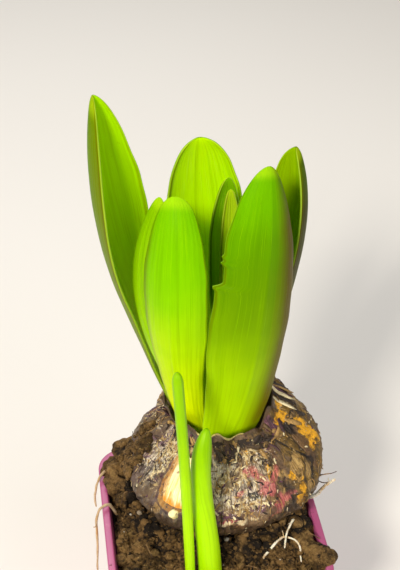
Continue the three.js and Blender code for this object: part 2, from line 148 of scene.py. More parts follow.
def fan_faces(first, columns, centre, turned=False):
    """Triangles from a ring that starts at index "first" to one point in its middle."""
    j = np.arange(columns)
    wedges = np.stack([first + j, first + (j + 1) % columns, np.full(columns, centre)], axis=-1)
    return wedges[:, [1, 0, 2]] if turned else wedges


def tube_part(grid, uv=None, **measures):
    """A closed body from a grid of rings (rows, columns, 3): quads all round and a fan at each end."""
    rows, columns = grid.shape[:2]
    points = np.concatenate([grid.reshape(-1, 3), grid[:1].mean(axis=1), grid[-1:].mean(axis=1)])
    count = rows * columns
    faces = [
        grid_faces(rows, columns),
        fan_faces(0, columns, count, turned=True),
        fan_faces(count - columns, columns, count + 1),
    ]

    def with_ends(values):
        """The values of all rings, then the mean of the first ring and of the last."""
        values = values.reshape(rows, columns, -1)
        ends = [values.reshape(count, -1), values[:1].mean(axis=1), values[-1:].mean(axis=1)]
        return np.concatenate(ends)

    uv = None if uv is None else with_ends(np.stack(np.broadcast_arrays(*uv), axis=-1))
    shape = (rows, columns)
    kept = {name: with_ends(np.broadcast_to(value, shape)) for name, value in measures.items()}
    return Part(points, faces, uv, **kept)


print("three rings of eight points make", len(grid_faces(3, 8)), "quads")

# %% Pieces
def piece(name, parts, finish, slot, *nodes):
    """One Blender object from parts. It rides on the plant and stands for the CAD nodes named."""
    starts = np.cumsum([0] + [len(part.points) for part in parts])
    faces = [face + start for part, start in zip(parts, starts) for face in part.faces]
    corners = np.concatenate([face.ravel() for face in faces])
    sizes = np.concatenate([np.full(len(face), face.shape[1]) for face in faces])
    mesh = bpy.data.meshes.new(name)
    mesh.vertices.add(starts[-1])
    mesh.vertices.foreach_set("co", (np.concatenate([part.points for part in parts]) * MM).ravel())
    mesh.loops.add(len(corners))
    mesh.loops.foreach_set("vertex_index", corners)
    mesh.polygons.add(len(sizes))
    mesh.polygons.foreach_set("loop_start", np.concatenate([[0], np.cumsum(sizes)[:-1]]))
    mesh.polygons.foreach_set("use_smooth", np.ones(len(sizes), bool))
    mesh.update(calc_edges=True)
    uv = np.concatenate([part.uv for part in parts])[corners]
    highest = np.repeat(np.maximum.reduceat(uv[:, 0], np.cumsum(sizes) - sizes), sizes)
    uv[:, 0] += highest - uv[:, 0] > 0.5  # a face that closes a ring runs on to 1, not back to 0
    mesh.uv_layers.new(name="UVMap").data.foreach_set("uv", uv.ravel())
    for measure in parts[0].measures:
        values = np.concatenate([part.measures[measure] for part in parts])
        mesh.attributes.new(measure, "FLOAT", "POINT").data.foreach_set("value", values)
    mesh.materials.append(finish)
    made = bpy.data.objects.new(name, mesh)
    bpy.context.scene.collection.objects.link(made)
    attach(made, "root")
    if nodes:
        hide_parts(*nodes)
    print(name, "has", int(sum(sizes - 2)), "triangles")
    return made


# %% [markdown]
# ## Shader maths as Python
#
# A finish is a graph of nodes. Writing it as Python expressions keeps it short: a Wire is the output of
# a node, and a + b or 1 - a on wires adds the Math node that does it. Colours go through Mix nodes,
# because a Math node would turn them grey.

# %% Wires
class Wire:
    """An output socket that Python's operators work on."""

    def __init__(self, finish, socket):
        self.finish = finish
        self.socket = socket

    def maths(self, operation, *values):
        """A Math node: each value is a number or another wire."""
        return self.finish.node("ShaderNodeMath", {"operation": operation}, dict(enumerate(values)))

    def __add__(self, other):
        return self.maths("ADD", self, other)

    def __sub__(self, other):
        return self.maths("SUBTRACT", self, other)

    def __rsub__(self, other):
        return self.maths("SUBTRACT", other, self)

    def __mul__(self, other):
        return self.maths("MULTIPLY", self, other)

    def __abs__(self):
        return self.maths("ABSOLUTE", self)

    __radd__ = __add__
    __rmul__ = __mul__


def paint(code):
    """The linear colour of a hex code, with alpha 1."""
    shares = np.array([int(code[i : i + 2], 16) for i in (1, 3, 5)]) / 255
    linear = np.where(shares <= 0.04045, shares / 12.92, ((shares + 0.055) / 1.055) ** 2.4)
    return (*linear.tolist(), 1.0)


print("half grey is painted as", np.round(paint("#808080"), 3))

# %% Finishes
class Finish:
    """A material being made, one node after another."""

    def __init__(self, name):
        self.material = bpy.data.materials.new(name)
        self.material.use_nodes = True
        self.tree = self.material.node_tree
        self.tree.nodes.clear()

    def node(self, kind, settings=None, sockets=None, output=0):
        """A node of a kind, whose output comes back as a wire. A socket takes a wire, a number, a vector
        or the hex code of a colour."""
        made = self.tree.nodes.new(kind)
        for setting, value in (settings or {}).items():
            setattr(made, setting, value)
        for socket, value in (sockets or {}).items():
            if isinstance(value, Wire):
                self.tree.links.new(value.socket, made.inputs[socket])
            else:
                made.inputs[socket].default_value = paint(value) if isinstance(value, str) else value
        return Wire(self, made.outputs[output]) if len(made.outputs) else None

    def place(self):
        """The point in the piece's own space, in metres."""
        return self.node("ShaderNodeTexCoord", output="Object")

    def uv(self):
        """The point on the piece's UV map."""
        return self.node("ShaderNodeUVMap", {"uv_map": "UVMap"})

    def measure(self, name):
        """A number that the mesh carries at each point."""
        return self.node("ShaderNodeAttribute", {"attribute_name": name}, output="Fac")

    def split(self, vector, axis):
        """One of a vector's three numbers."""
        return self.node("ShaderNodeSeparateXYZ", None, {0: vector}, output=axis)

    def stretch(self, vector, *scale):
        """The vector with each of its numbers scaled."""
        return self.node("ShaderNodeVectorMath", {"operation": "MULTIPLY"}, {0: vector, 1: scale})

    def noise(self, vector, scale, detail=2.0, roughness=0.5):
        """Soft noise from 0 to 1, mostly near 0.5, with "scale" lumps to each unit."""
        sockets = {"Vector": vector, "Scale": scale, "Detail": detail, "Roughness": roughness}
        return self.node("ShaderNodeTexNoise", None, sockets)

    def between(self, value, low, high):
        """0 at low, 1 at high and eased in between; low may be the larger number."""
        sockets = {0: value, 1: low, 2: high, 3: 0.0, 4: 1.0}
        return self.node("ShaderNodeMapRange", {"interpolation_type": "SMOOTHSTEP"}, sockets)

    def mixed(self, a, b, share):
        """Colour a where share is 0, colour b where it is 1."""
        return self.node("ShaderNodeMix", {"data_type": "RGBA"}, {0: share, 6: a, 7: b}, output=2)

    def coat(self, under, over, value, low, high, share=1):
        """Colour over laid on colour under, up to its share, where the value passes from low to high."""
        through = self.between(value, low, high)
        return self.mixed(under, over, through if share == 1 else through * share)

    def coats(self, colour, *rows):
        """One coat after another: each row is the colour, the value, low, high and the share."""
        for row in rows:
            colour = self.coat(colour, *row)
        return colour

    def band(self, value, start, full, fading, gone):
        """1 between full and fading, eased to 0 at start and at gone."""
        return self.between(value, start, full) * self.between(value, gone, fading)

    def relief(self, height, distance, strength):
        """A normal bent as if the surface rose by height * distance."""
        sockets = {"Height": height, "Distance": distance, "Strength": strength}
        return self.node("ShaderNodeBump", None, sockets)

    def surface(self, **sockets):
        """Ends the graph in one Principled shader; underscores in a socket's name stand for spaces."""
        named = {key.replace("_", " "): value for key, value in sockets.items()}
        shader = self.node("ShaderNodeBsdfPrincipled", None, named)
        self.node("ShaderNodeOutputMaterial", None, {"Surface": shader})
        return self.material


# %% [markdown]
# ## The leaves
#
# A young hyacinth leaf is a thick strap, folded lengthwise like the keel of a boat and drawn in to a
# blunt, hooded tip. It could be sculpted from a plane, but a formula gives a whole family of leaves: a
# midrib curve, a width that swells and closes along it, and a section that leans inwards more and more
# from the midrib to the margin. Each leaf is then one row of a table.

# %% The leaves' own numbers
# rib: four points of the midrib; faces: the way the outer face looks at the root and the tip, in degrees;
# curl: the lean at the margin at root, middle and tip; fold: 1 for a round channel, less for a sharp keel.
LEAVES = {
    "leaf_front_right": dict(
        rib=[(4.8, 8.8, 84), (10.7, 0.2, 118), (14.8, -1, 156), (16.5, 8, 190)],
        faces=(282, 290), width=30, widest=0.55, base=0.59, blunt=0.6, curl=(14, 52, 60), fold=1),
    "leaf_front_left": dict(
        rib=[(-2.6, 15.2, 84), (-9.8, 4.9, 120), (-12, -1.7, 153), (-9.3, 9, 182)],
        faces=(240, 250), width=21.8, widest=0.62, base=0.47, blunt=0.39, curl=(30, 58, 58), fold=1),
    "leaf_left_inner": dict(
        rib=[(-1.6, 18.6, 86), (-12.2, 15, 116), (-19, 13.4, 147), (-12.3, 17, 177)],
        faces=(226, 206), width=16.6, widest=0.55, base=0.4, blunt=0.5, curl=(40, 50, 55), fold=1),
    "leaf_left_tall": dict(
        rib=[(-4.6, 23.4, 84), (-18.4, 29.4, 121), (-28.4, 29.8, 162), (-29.1, 26, 205.5)],
        faces=(162, 142), width=31, widest=0.6, base=0.33, blunt=0.62, curl=(16, 50, 74), fold=0.5),
    "leaf_back": dict(
        rib=[(4.5, 30, 84), (5, 39, 120), (3.2, 40, 155), (0.9, 33.5, 186)],
        faces=(95, 92), width=26, widest=0.6, base=0.56, blunt=0.42, curl=(38, 34, 40), fold=1),
    "leaf_right_back": dict(
        rib=[(16.4, 20.5, 84), (22.8, 23.5, 118), (29.4, 24, 154), (27.9, 26, 185)],
        faces=(8, 33), width=25, widest=0.55, base=0.66, blunt=0.45, curl=(44, 64, 70), fold=0.5),
    "leaf_heart_outer": dict(
        rib=[(6.5, 25, 86), (9.5, 29, 118), (8.5, 30, 148), (8.3, 25, 177)],
        faces=(90, 95), width=13, widest=0.5, base=0.5, blunt=0.5, curl=(50, 45, 50), fold=1),
    "leaf_heart_inner": dict(
        rib=[(6.5, 18.5, 86), (9.2, 22, 118), (9.2, 22.5, 148), (8.2, 20, 176)],
        faces=(85, 80), width=8.5, widest=0.5, base=0.6, blunt=0.5, curl=(50, 55, 60), fold=1),
}
RIB_THICKNESS, MARGIN_THICKNESS = 2.0, 0.8
MARGIN_ROUND = 0.45  # how near the margin the two faces start to meet
SECTION_STEPS = 200
PLEAT_HEIGHT, PLEAT_WIDTH = 0.05, 3.4
KEEL_HEIGHT = 0.35
# A leaf that was torn: the side, where along the blade, how far the margin is set back above it, and the
# tabs that are left sticking out: how far above the tear each is, and how far it reaches.
TEAR_LENGTH, TAB_LENGTH = 0.005, 0.0055
TEAR = {
    "leaf_front_right": dict(
        side=-1, at=0.665, depth=2.2, length=0.17, tabs=((-0.006, 1.0), (0.066, 1.3), (0.084, 0.9))),
}
print(len(LEAVES), "leaves, of which the widest is", max(leaf["width"] for leaf in LEAVES.values()), "mm")

# %% Midrib, width and curl
def cubic_through(points, t):
    """The one cubic that passes four points at t = 0, 1/3, 2/3 and 1, and its slope, for each t."""
    p0, p1, p2, p3 = np.array(points, float)
    t = t[:, None]
    linear = -5.5 * p0 + 9 * p1 - 4.5 * p2 + p3
    square = 9 * p0 - 22.5 * p1 + 18 * p2 - 4.5 * p3
    cube = -4.5 * p0 + 13.5 * p1 - 13.5 * p2 + 4.5 * p3
    return p0 + linear * t + square * t**2 + cube * t**3, linear + 2 * square * t + 3 * cube * t**2


def half_width(leaf, t):
    """From the root's share it eases up to 1 at the widest place, then falls as (1 - q^2.2)^blunt."""
    q = np.clip((t - leaf["widest"]) / (1 - leaf["widest"]), 0, 1)
    swelling = mix(leaf["base"], 1, smooth(t / leaf["widest"]))
    return leaf["width"] / 2 * np.where(t < leaf["widest"], swelling, (1 - q**2.2) ** leaf["blunt"])


def curl_at(leaf, t):
    """The lean of the margins: from root to middle in the lower half, from middle to tip above it."""
    root, middle, tip = leaf["curl"]
    lower, upper = mix(root, middle, smooth(2 * t)), mix(middle, tip, smooth(2 * t - 1))
    return radians(np.where(t < 0.5, lower, upper))


def rib_frame(leaf, t):
    """The midrib's points with the directions out of the leaf's face and to its right."""
    point, slope = cubic_through(leaf["rib"], t)
    along = unit(slope)
    look = radians(mix(leaf["faces"][0], leaf["faces"][1], smooth(t)))
    out = np.stack([np.cos(look), np.sin(look), np.zeros_like(t)], axis=-1)
    out = unit(out - along * np.sum(out * along, axis=-1, keepdims=True))
    return point, out, np.cross(along, out)


def length_of(points):
    """The sum of the steps between one point and the next."""
    return np.linalg.norm(np.diff(points, axis=0), axis=1).sum()


ribs = [rib_frame(leaf, np.linspace(0, 1, 99))[0] for leaf in LEAVES.values()]
print("the midribs are", [int(length_of(rib)) for rib in ribs], "mm long")


# %% One blade
def blade(name, leaf, rows=96, columns=61):
    """Rings of points round the section. The section turns by curl * |s|^fold at a share s of the way
    to the margin, and its points are the running sums of that direction's cosine and sine. The outer
    and inner faces stand off it along its normal, and meet in a rounded margin."""
    t = np.sin(np.linspace(0, np.pi / 2, rows)) ** 1.15 * 0.9995
    s = np.sin(np.linspace(-np.pi / 2, np.pi / 2, columns))
    point, out, right = (v[:, None, :] for v in rib_frame(leaf, t))
    curl, half = curl_at(leaf, t)[:, None], half_width(leaf, t)[:, None]
    fold = mix(1, leaf["fold"], smooth(3 * t))[:, None]

    fine = np.linspace(0, 1, SECTION_STEPS + 1)
    ahead = curl * ((fine[1:] + fine[:-1]) / 2) ** fold
    steps = (np.pad(wave(ahead), ((0, 0), (1, 0))) for wave in (np.cos, np.sin))
    run, rise = (np.cumsum(step, axis=1) / SECTION_STEPS for step in steps)
    share = np.abs(s) * SECTION_STEPS
    low = np.minimum(share.astype(int), SECTION_STEPS - 1)
    x = mix(run[:, low], run[:, low + 1], share - low) * np.sign(s)
    y = mix(rise[:, low], rise[:, low + 1], share - low)
    half = half * margin_shape(name, t[:, None], s[None, :])
    middle = point + right * (half * x)[..., None] - out * (half * y)[..., None]
    lean = curl * np.abs(s) ** fold * np.sign(s)
    normal = out * np.cos(lean)[..., None] + right * np.sin(lean)[..., None]

    rib = RIB_THICKNESS * (1 - 0.4 * t[:, None])
    thick = mix(rib, MARGIN_THICKNESS, np.abs(s) ** 2.2)
    from_margin = (1 - np.abs(s)) * np.maximum(half, 0.05)
    thick = thick * np.sqrt(1 - (1 - np.clip(from_margin / MARGIN_ROUND, 0, 1)) ** 2)
    thick = thick * np.sqrt(1 - np.clip((t[:, None] - 0.97) / 0.03, 0, 1) ** 2)
    pleats = PLEAT_HEIGHT * np.cos(2 * np.pi * s * leaf["width"] / PLEAT_WIDTH)
    pleats = pleats * smooth(4 * (1 - np.abs(s)))
    keel = KEEL_HEIGHT * bell(s, 0.05) * smooth(3 * t[:, None]) * smooth(6 * (1 - t[:, None]))
    outer = middle + normal * (thick / 2 + pleats + keel)[..., None]
    inner = middle - normal * (thick / 2 - pleats)[..., None]

    grid = np.concatenate([outer, inner[:, -2:0:-1]], axis=1)
    across = np.concatenate([s, s[-2:0:-1]])[None, :] / 2 + 0.5
    is_inner = np.concatenate([np.zeros(columns), np.ones(columns - 2)])[None, :]
    return tube_part(grid, uv=(across, t[:, None]), inner=is_inner)


def margin_shape(name, t, s):
    """The width's small changes: a slow waviness all along, and the step where a leaf was torn."""
    wave = 1 + 0.012 * np.sin(23 * t + 3 * np.sign(s)) + 0.008 * np.sin(51 * t + np.sign(s))
    tear = TEAR.get(name)
    if tear is None:
        return wave
    ease = smooth((tear["at"] + tear["length"] - t) / tear["length"])
    away = tear["depth"] * smooth((t - tear["at"]) / TEAR_LENGTH) * ease
    for above, reach in tear["tabs"]:
        away = away - reach * bell(t - tear["at"] - above, TAB_LENGTH)
    torn = away / (LEAVES[name]["width"] / 2) * (np.sign(s) == tear["side"])
    return wave - torn


print("a blade has", len(blade("leaf_back", LEAVES["leaf_back"]).points), "points")


# %% [markdown]
# ### The leaf's finish
#
# Living leaf is not one green. It is lime at the sheathed base and a deeper green above, with long pale
# veins that run side by side and close together at both ends. The veins follow the blade because they
# are drawn on its own UV map, where u runs across and v along. The light that goes into a leaf comes out
# again yellower, so the shader has some subsurface scattering, and the thin margin is pale.

# %% Leaf green
def leaf_green(name, low, middle, high, vein, inside, flush_and_shade, start, full):
    """Three greens along the blade with pale veins over them, and an inner face of its own, painted bright
    low down for light that shines through the leaf. From "start" to "full" across the blade lies the side in
    shade: there the outer face turns brown, partly the leaf's own colour and partly painted shade and
    painted reflection, and the inner face takes painted shade. Near the tip the outer face has a painted
    highlight. The margins are pale, with a red-brown line."""
    leaf = Finish("green_" + name)
    uv = leaf.uv()
    across, along = leaf.split(uv, 0), leaf.split(uv, 1)
    place = leaf.place()
    patch = leaf.noise(place, 60.0, 2.0)
    height = along + (patch - 0.5) * 0.2
    green = leaf.coats(leaf.coat(low, middle, height, -0.05, 0.8), (high, height, 0.6, 1.0))
    inner = leaf.measure("inner")
    outer = 1 - inner
    fine = leaf.noise(leaf.stretch(uv, 110.0, 4.0, 0.0), 1.0, 2.0, 0.6)
    broad = leaf.noise(leaf.stretch(uv, 13.0, 1.6, 0.0), 1.0, 1.0)
    veins = leaf.between(fine, 0.56, 0.74) * (0.2 + 0.5 * leaf.between(broad, 0.45, 0.65))
    shade = leaf.between(fine, 0.48, 0.3) * 0.22 + leaf.between(broad, 0.5, 0.3) * 0.16
    streaked = across + (broad - 0.5) * 0.12 + (fine - 0.5) * 0.08
    # from start to full across the blade: the side in shade, where shade is painted
    turned = leaf.between(streaked, start, full)
    # the inner face is painted bright low down: painted light for light that shines through the leaf
    hidden = leaf.coat("#e4ff20", inside, along, 0.25, 0.6)
    # painted shade on the inner face, inside the fold on its shaded side
    hidden = leaf.mixed(hidden, "#465400", turned * leaf.between(along, 0.3, 0.6) * 0.6)
    green = leaf.mixed(green, hidden, inner * 0.85)
    green = leaf.mixed(green, vein, veins * leaf.between(along, 0.02, 0.25))
    green = leaf.mixed(green, "#3c7000", shade)
    # the outer face's shaded side turns brown: partly the leaf's own colour, partly painted shade and
    # painted reflection
    green = leaf.mixed(green, flush_and_shade, turned * outer * leaf.between(along, 0.02, 0.2) * 0.85)
    green = leaf.mixed(green, high, leaf.between(height, 0.82, 1.0) * outer * 0.5)
    # a painted highlight near the tip of the outer face
    green = leaf.mixed(green, "#d8f820", leaf.between(along, 0.955, 0.985) * outer * 0.25)
    green = leaf.coat(green, "#4a7a00", leaf.noise(place, 420.0, 3.0, 0.7), 0.68, 0.78, 0.35)

    edge = abs(across - 0.5) * 2
    line = leaf.band(edge, 0.90, 0.95, 0.96, 0.985)
    green = leaf.mixed(green, "#5c4a00", line * leaf.between(broad, 0.4, 0.6) * 0.5)
    green = leaf.coat(green, "#a8c83c", edge, 0.984, 0.994, 0.6)
    return leaf.surface(
        Base_Color=green,
        Roughness=0.3 + 0.14 * patch,
        Specular_IOR_Level=0.03,
        Specular_Tint=(0.95, 1.0, 0.3, 1.0),
        Subsurface_Weight=0.2,
        Subsurface_Radius=(0.7, 1.0, 0.12),
        Subsurface_Scale=0.0016,
        Normal=leaf.relief(veins + fine * 0.5, 0.00012, 0.6),
    )


# %% Grow the leaves
# low, middle and high greens, vein, inner face, and the brown of the shaded side, partly the leaf's own and
# partly painted shade and reflection, with where that side starts and is full
# the inner greens of leaf_left_tall and leaf_back are bright partly as painted light, for light that shines
# through these leaves
GREENS = {
    "leaf_front_right": ("#b8e400", "#548000", "#66a800", "#9cd000", "#649c00", "#5c3c00", 0.5, 0.88),
    "leaf_front_left": ("#ecff00", "#7cc000", "#70b400", "#b0e400", "#649c00", "#688400", 0.2, 0.0),
    "leaf_left_inner": ("#b4e800", "#84ba00", "#80b600", "#bce430", "#649c00", "#6e8800", 0.3, 0.05),
    "leaf_left_tall": ("#7ca400", "#5c8000", "#608400", "#84ac10", "#b0ea00", "#6c7c00", 0.6, 1.0),
    "leaf_back": ("#86c800", "#7cc400", "#64ac00", "#d0ff50", "#d0ff00", "#648800", 0.9, 1.0),
    "leaf_right_back": ("#6c9400", "#5a8000", "#648c00", "#7c9400", "#98c000", "#382400", 0.6, 0.12),
    "leaf_heart_outer": ("#6cac00", "#76bc00", "#8cd008", "#c8f050", "#80b800", "#90a000", 0.9, 1.0),
    "leaf_heart_inner": ("#84c000", "#96d408", "#b8d820", "#d8f470", "#b0d010", "#907800", 0.9, 1.0),
}
SLOTS = {s["node"]: s["material_slot"] for s in frame["record"]["subparts"]}
for name, leaf in LEAVES.items():
    grown = blade(name, leaf, rows=200 if name in TEAR else 96)
    piece(name + "_blade", [grown], leaf_green(name, *GREENS[name]), SLOTS[name], name)


# %% [markdown]
# ## Stems along a curve
#
# The two bare shoots and the roots are round stems. Each follows a smooth curve through a few points,
# and a ring of points stands square to the curve at each step. Roots get a little wander and lumps, so
# that none of them looks like wire.

# %% A stem's curve and rings
def curve_through(points, t):
    """A Catmull-Rom curve whose pace follows the square root of each span, for t from 0 to 1."""
    p = np.array(points, float)
    p = np.concatenate([2 * p[:1] - p[1:2], p, 2 * p[-1:] - p[-2:-1]])
    at = np.clip(t, 0, 1) * (len(points) - 1)
    i = np.minimum(at.astype(int), len(points) - 2)
    w = (at - i)[:, None]
    a, b, c, d = (p[i + k] for k in range(4))
    ab, bc, cd = (np.sqrt(np.linalg.norm(n - m, axis=1))[:, None] for m, n in ((a, b), (b, c), (c, d)))
    leave = bc * ((b - a) / ab - (c - a) / (ab + bc) + (c - b) / bc)
    arrive = bc * ((c - b) / bc - (d - b) / (bc + cd) + (d - c) / cd)
    square = -3 * b + 3 * c - 2 * leave - arrive
    cube = 2 * b - 2 * c + leave + arrive
    return b + leave * w + square * w**2 + cube * w**3


def stem_part(points, radius, rows, sides, crowd=1, wander=0, seed=0):
    """Rings of the given radius square to the curve. crowd over 1 puts more rings near the tip."""
    t = 1 - (1 - np.linspace(0, 1, rows)) ** crowd
    centre = curve_through(points, t)
    drift = np.stack([fractal(centre + 50 * axis, 4, 2, seed) - 0.5 for axis in (1, 2, 3)], axis=-1)
    centre = centre + wander * drift * smooth(t * 6)[:, None]
    along = unit(np.gradient(centre, axis=0))
    side = unit(np.cross([0, 0, 1], along))
    up = np.cross(along, side)
    a = ring(sides)[None, :, None]
    thick = np.broadcast_to(radius(t[:, None], a[..., 0]), (rows, sides))[..., None]
    grid = centre[:, None] + thick * (side[:, None] * np.cos(a) + up[:, None] * np.sin(a))
    return tube_part(grid, uv=(a[..., 0] / (2 * np.pi), t[:, None]))


bow = curve_through([(0, 0, 0), (1, 1, 0), (2, 0, 0)], np.linspace(0, 1, 99))
print("a curve through three points 1.41 apart is", length_of(bow).round(2), "long")


# %% The shoots
SHOOTS = {
    "shoot_thin": dict(
        route=[
            (-10.2, -27, 54), (-10.4, -25.5, 72), (-10.8, -22, 98), (-11.3, -18.5, 118), (-12.1, -14, 139)],
        radius=1.65, foot=0.85, closing=2.2),
    "shoot_thick": dict(
        route=[
            (-3.4, -24.5, 54), (-4.2, -22.5, 74), (-5.7, -18.5, 94), (-5.4, -15.5, 106), (-3.4, -12.5, 115)],
        radius=3.1, foot=1.2, closing=7),
}


def shoot_radius(route, radius, foot, closing):
    """A share "foot" of the radius at the foot, easing to the whole by the middle, then closing over the
    last few radii like the end of an egg."""
    length = length_of(curve_through(route, np.linspace(0, 1, 99)))

    def at(t, turn):
        """The radius at t along the stem and a turn round it, with faint ribs."""
        left = np.clip((1 - t) * length / (closing * radius), 0, 1)
        ribs = 1 + 0.012 * np.sin(9 * turn + 3 * t) + 0.02 * np.sin(2 * turn + 7 * t)
        return radius * mix(foot, 1, smooth(1.6 * t)) * np.sqrt(1 - (1 - left) ** 2 * 0.985) * ribs

    return at


def shoot_green():
    """Yellow-green, duller towards the tip, with faint lengthwise stripes and brownish spots."""
    shoot = Finish("shoot_green")
    uv = shoot.uv()
    along = shoot.split(uv, 1)
    stripes = shoot.noise(shoot.stretch(uv, 26.0, 1.6, 0.0), 1.0, 2.0)
    patch = shoot.noise(shoot.place(), 180.0, 3.0)
    green = shoot.coats(
        shoot.coat("#a8dc00", "#88bc00", along + (patch - 0.5) * 0.3, 0.35, 0.9),
        ("#6ca400", stripes, 0.5, 0.75, 0.4),
        ("#8a7a18", patch, 0.72, 0.8, 0.35),
    )
    return shoot.surface(
        Base_Color=green,
        Roughness=0.3 + 0.15 * patch,
        Specular_IOR_Level=0.25,
        Specular_Tint=(0.95, 1.0, 0.3, 1.0),
        Subsurface_Weight=0.3,
        Subsurface_Radius=(0.8, 1.0, 0.15),
        Subsurface_Scale=0.002,
        Normal=shoot.relief(stripes + 0.6 * patch, 0.00015, 0.6),
    )


SHOOT_GREEN = shoot_green()
for name, item in SHOOTS.items():
    part = stem_part(item["route"], shoot_radius(**item), rows=120, sides=48, crowd=1.6)
    piece(name + "_stem", [part], SHOOT_GREEN, SLOTS[name], name)


# %% [markdown]
# ## The bulb
#
# The bulb is the richest piece: a lopsided onion in several coats of dry, papery skin. It is one grid
# of points round (angle) and up (v). Its plain form is a smooth curve through rows of height, radius and
# middle. The form is pushed out and in by lobes, a cleft, dents and lengthwise folds, and above v = 1 it
# goes on as the papery neck, up to a ragged edge.

# %% The bulb's form
BULB_ROWS = np.array([
    (50, 8, 10, 0), (55, 15, 10, 0), (61, 18.5, 10, 0), (66, 22.5, 10.5, 0), (72, 28.3, 11.3, 0.03),
    (79, 31, 12.3, 0.06), (85, 29.4, 13.8, 0.08), (90, 25.6, 15.6, 0.1), (94.5, 21.2, 17.6, 0.12),
])
BULB_X, BULB_Y = 6.3, 11
NECK = dict(x=5.2, y=19.6, z=99, radius=17.1, lean=0.12)
NECK_TOP = 1.2  # the v of the neck's edge


def skin_relief(angle, v):
    """Millimetres out from the plain onion: lobes, folds and dents, less the front cleft and the slump."""
    cleft = 2.6 * bell(angle - radians(243), 0.12) * smooth(3 * v) * (1 - 0.6 * v)
    slump = 6.5 * np.maximum(-np.cos(angle - 0.1), 0) ** 2 * smooth(3.2 * v - 1.9)
    lobes = 0.9 * np.cos(2 * angle - 0.4) + 0.6 * np.cos(3 * angle + 1.1)
    folds = 0.22 * np.sin(13 * angle + 2 * np.sin(5 * v)) + 0.16 * np.sin(23 * angle - 9 * v)
    dents = 0.5 * np.sin(7 * angle + 11 * v) * np.sin(4 * angle - 14 * v)
    return (lobes + folds + dents) * smooth(4 * v) - cleft - slump


def bulb_row(v):
    """Height, radius, middle and lean at v, on a Catmull-Rom curve through the rows."""
    last = len(BULB_ROWS) - 1
    i = np.clip((v * last).astype(int), 0, last - 1)
    t = (v * last - i)[..., None]
    a, b, c, d = (BULB_ROWS[np.clip(i + k, 0, last)] for k in (-1, 0, 1, 2))
    row = b + 0.5 * t * (c - a + t * (2 * a - 5 * b + 4 * c - d + t * (3 * (b - c) + d - a)))
    return np.moveaxis(row, -1, 0)


def ragged_edge(a):
    """How far the neck's papery edge rises or falls at each turn."""
    return 1.6 * np.sin(5 * a + 1) * np.sin(2 * a) + 1.1 * np.sin(11 * a + 2) + 0.7 * np.sin(17 * a)


def neck_point(angle, radius, rise):
    """A point of the neck's ring, which leans with the bulb."""
    x, y = radius * np.cos(angle), radius * np.sin(angle)
    return np.stack([NECK["x"] + x, NECK["y"] + y, NECK["z"] + NECK["lean"] * y + rise], axis=-1)


def skin_point(angle, v, out=0):
    """The skin's point at a turn and a v, "out" millimetres proud of it. Above v = 1 it is blended
    towards the neck's ring."""
    angle, v = np.broadcast_arrays(angle, v)
    height, radius, back, lean = bulb_row(np.minimum(v, 1))
    r = radius + skin_relief(angle, np.minimum(v, 1)) + out
    y = r * np.sin(angle)
    bulb = np.stack([BULB_X + r * np.cos(angle), back + y, height + lean * y], axis=-1)
    w = np.clip((v - 1) / (NECK_TOP - 1), 0, 1.1)
    neck = neck_point(angle, NECK["radius"] + 0.7 + out, ragged_edge(angle) * w**2 - 0.6)
    return mix(bulb, neck, (w * (1.25 - 0.25 * w))[..., None])


front = skin_point(radians(270), np.linspace(0, NECK_TOP, 7))
print("up its front the plain bulb is at y =", front[:, 1].round(1), "and z =", front[:, 2].round(1))


# %% [markdown]
# ### Coats, cracks and stains
#
# Each patch is one row: where it is on the skin, how far it reaches and how deep it is. A patch's field
# is 1 in its middle, one half at its edge and 0 at twice its size, with the edge pulled about by noise.
# The same field steps the surface down and colours it in the finish, so that every torn edge is where
# the colour changes. The rows of "flecks" only say where pale flecks and slivers lie thick.

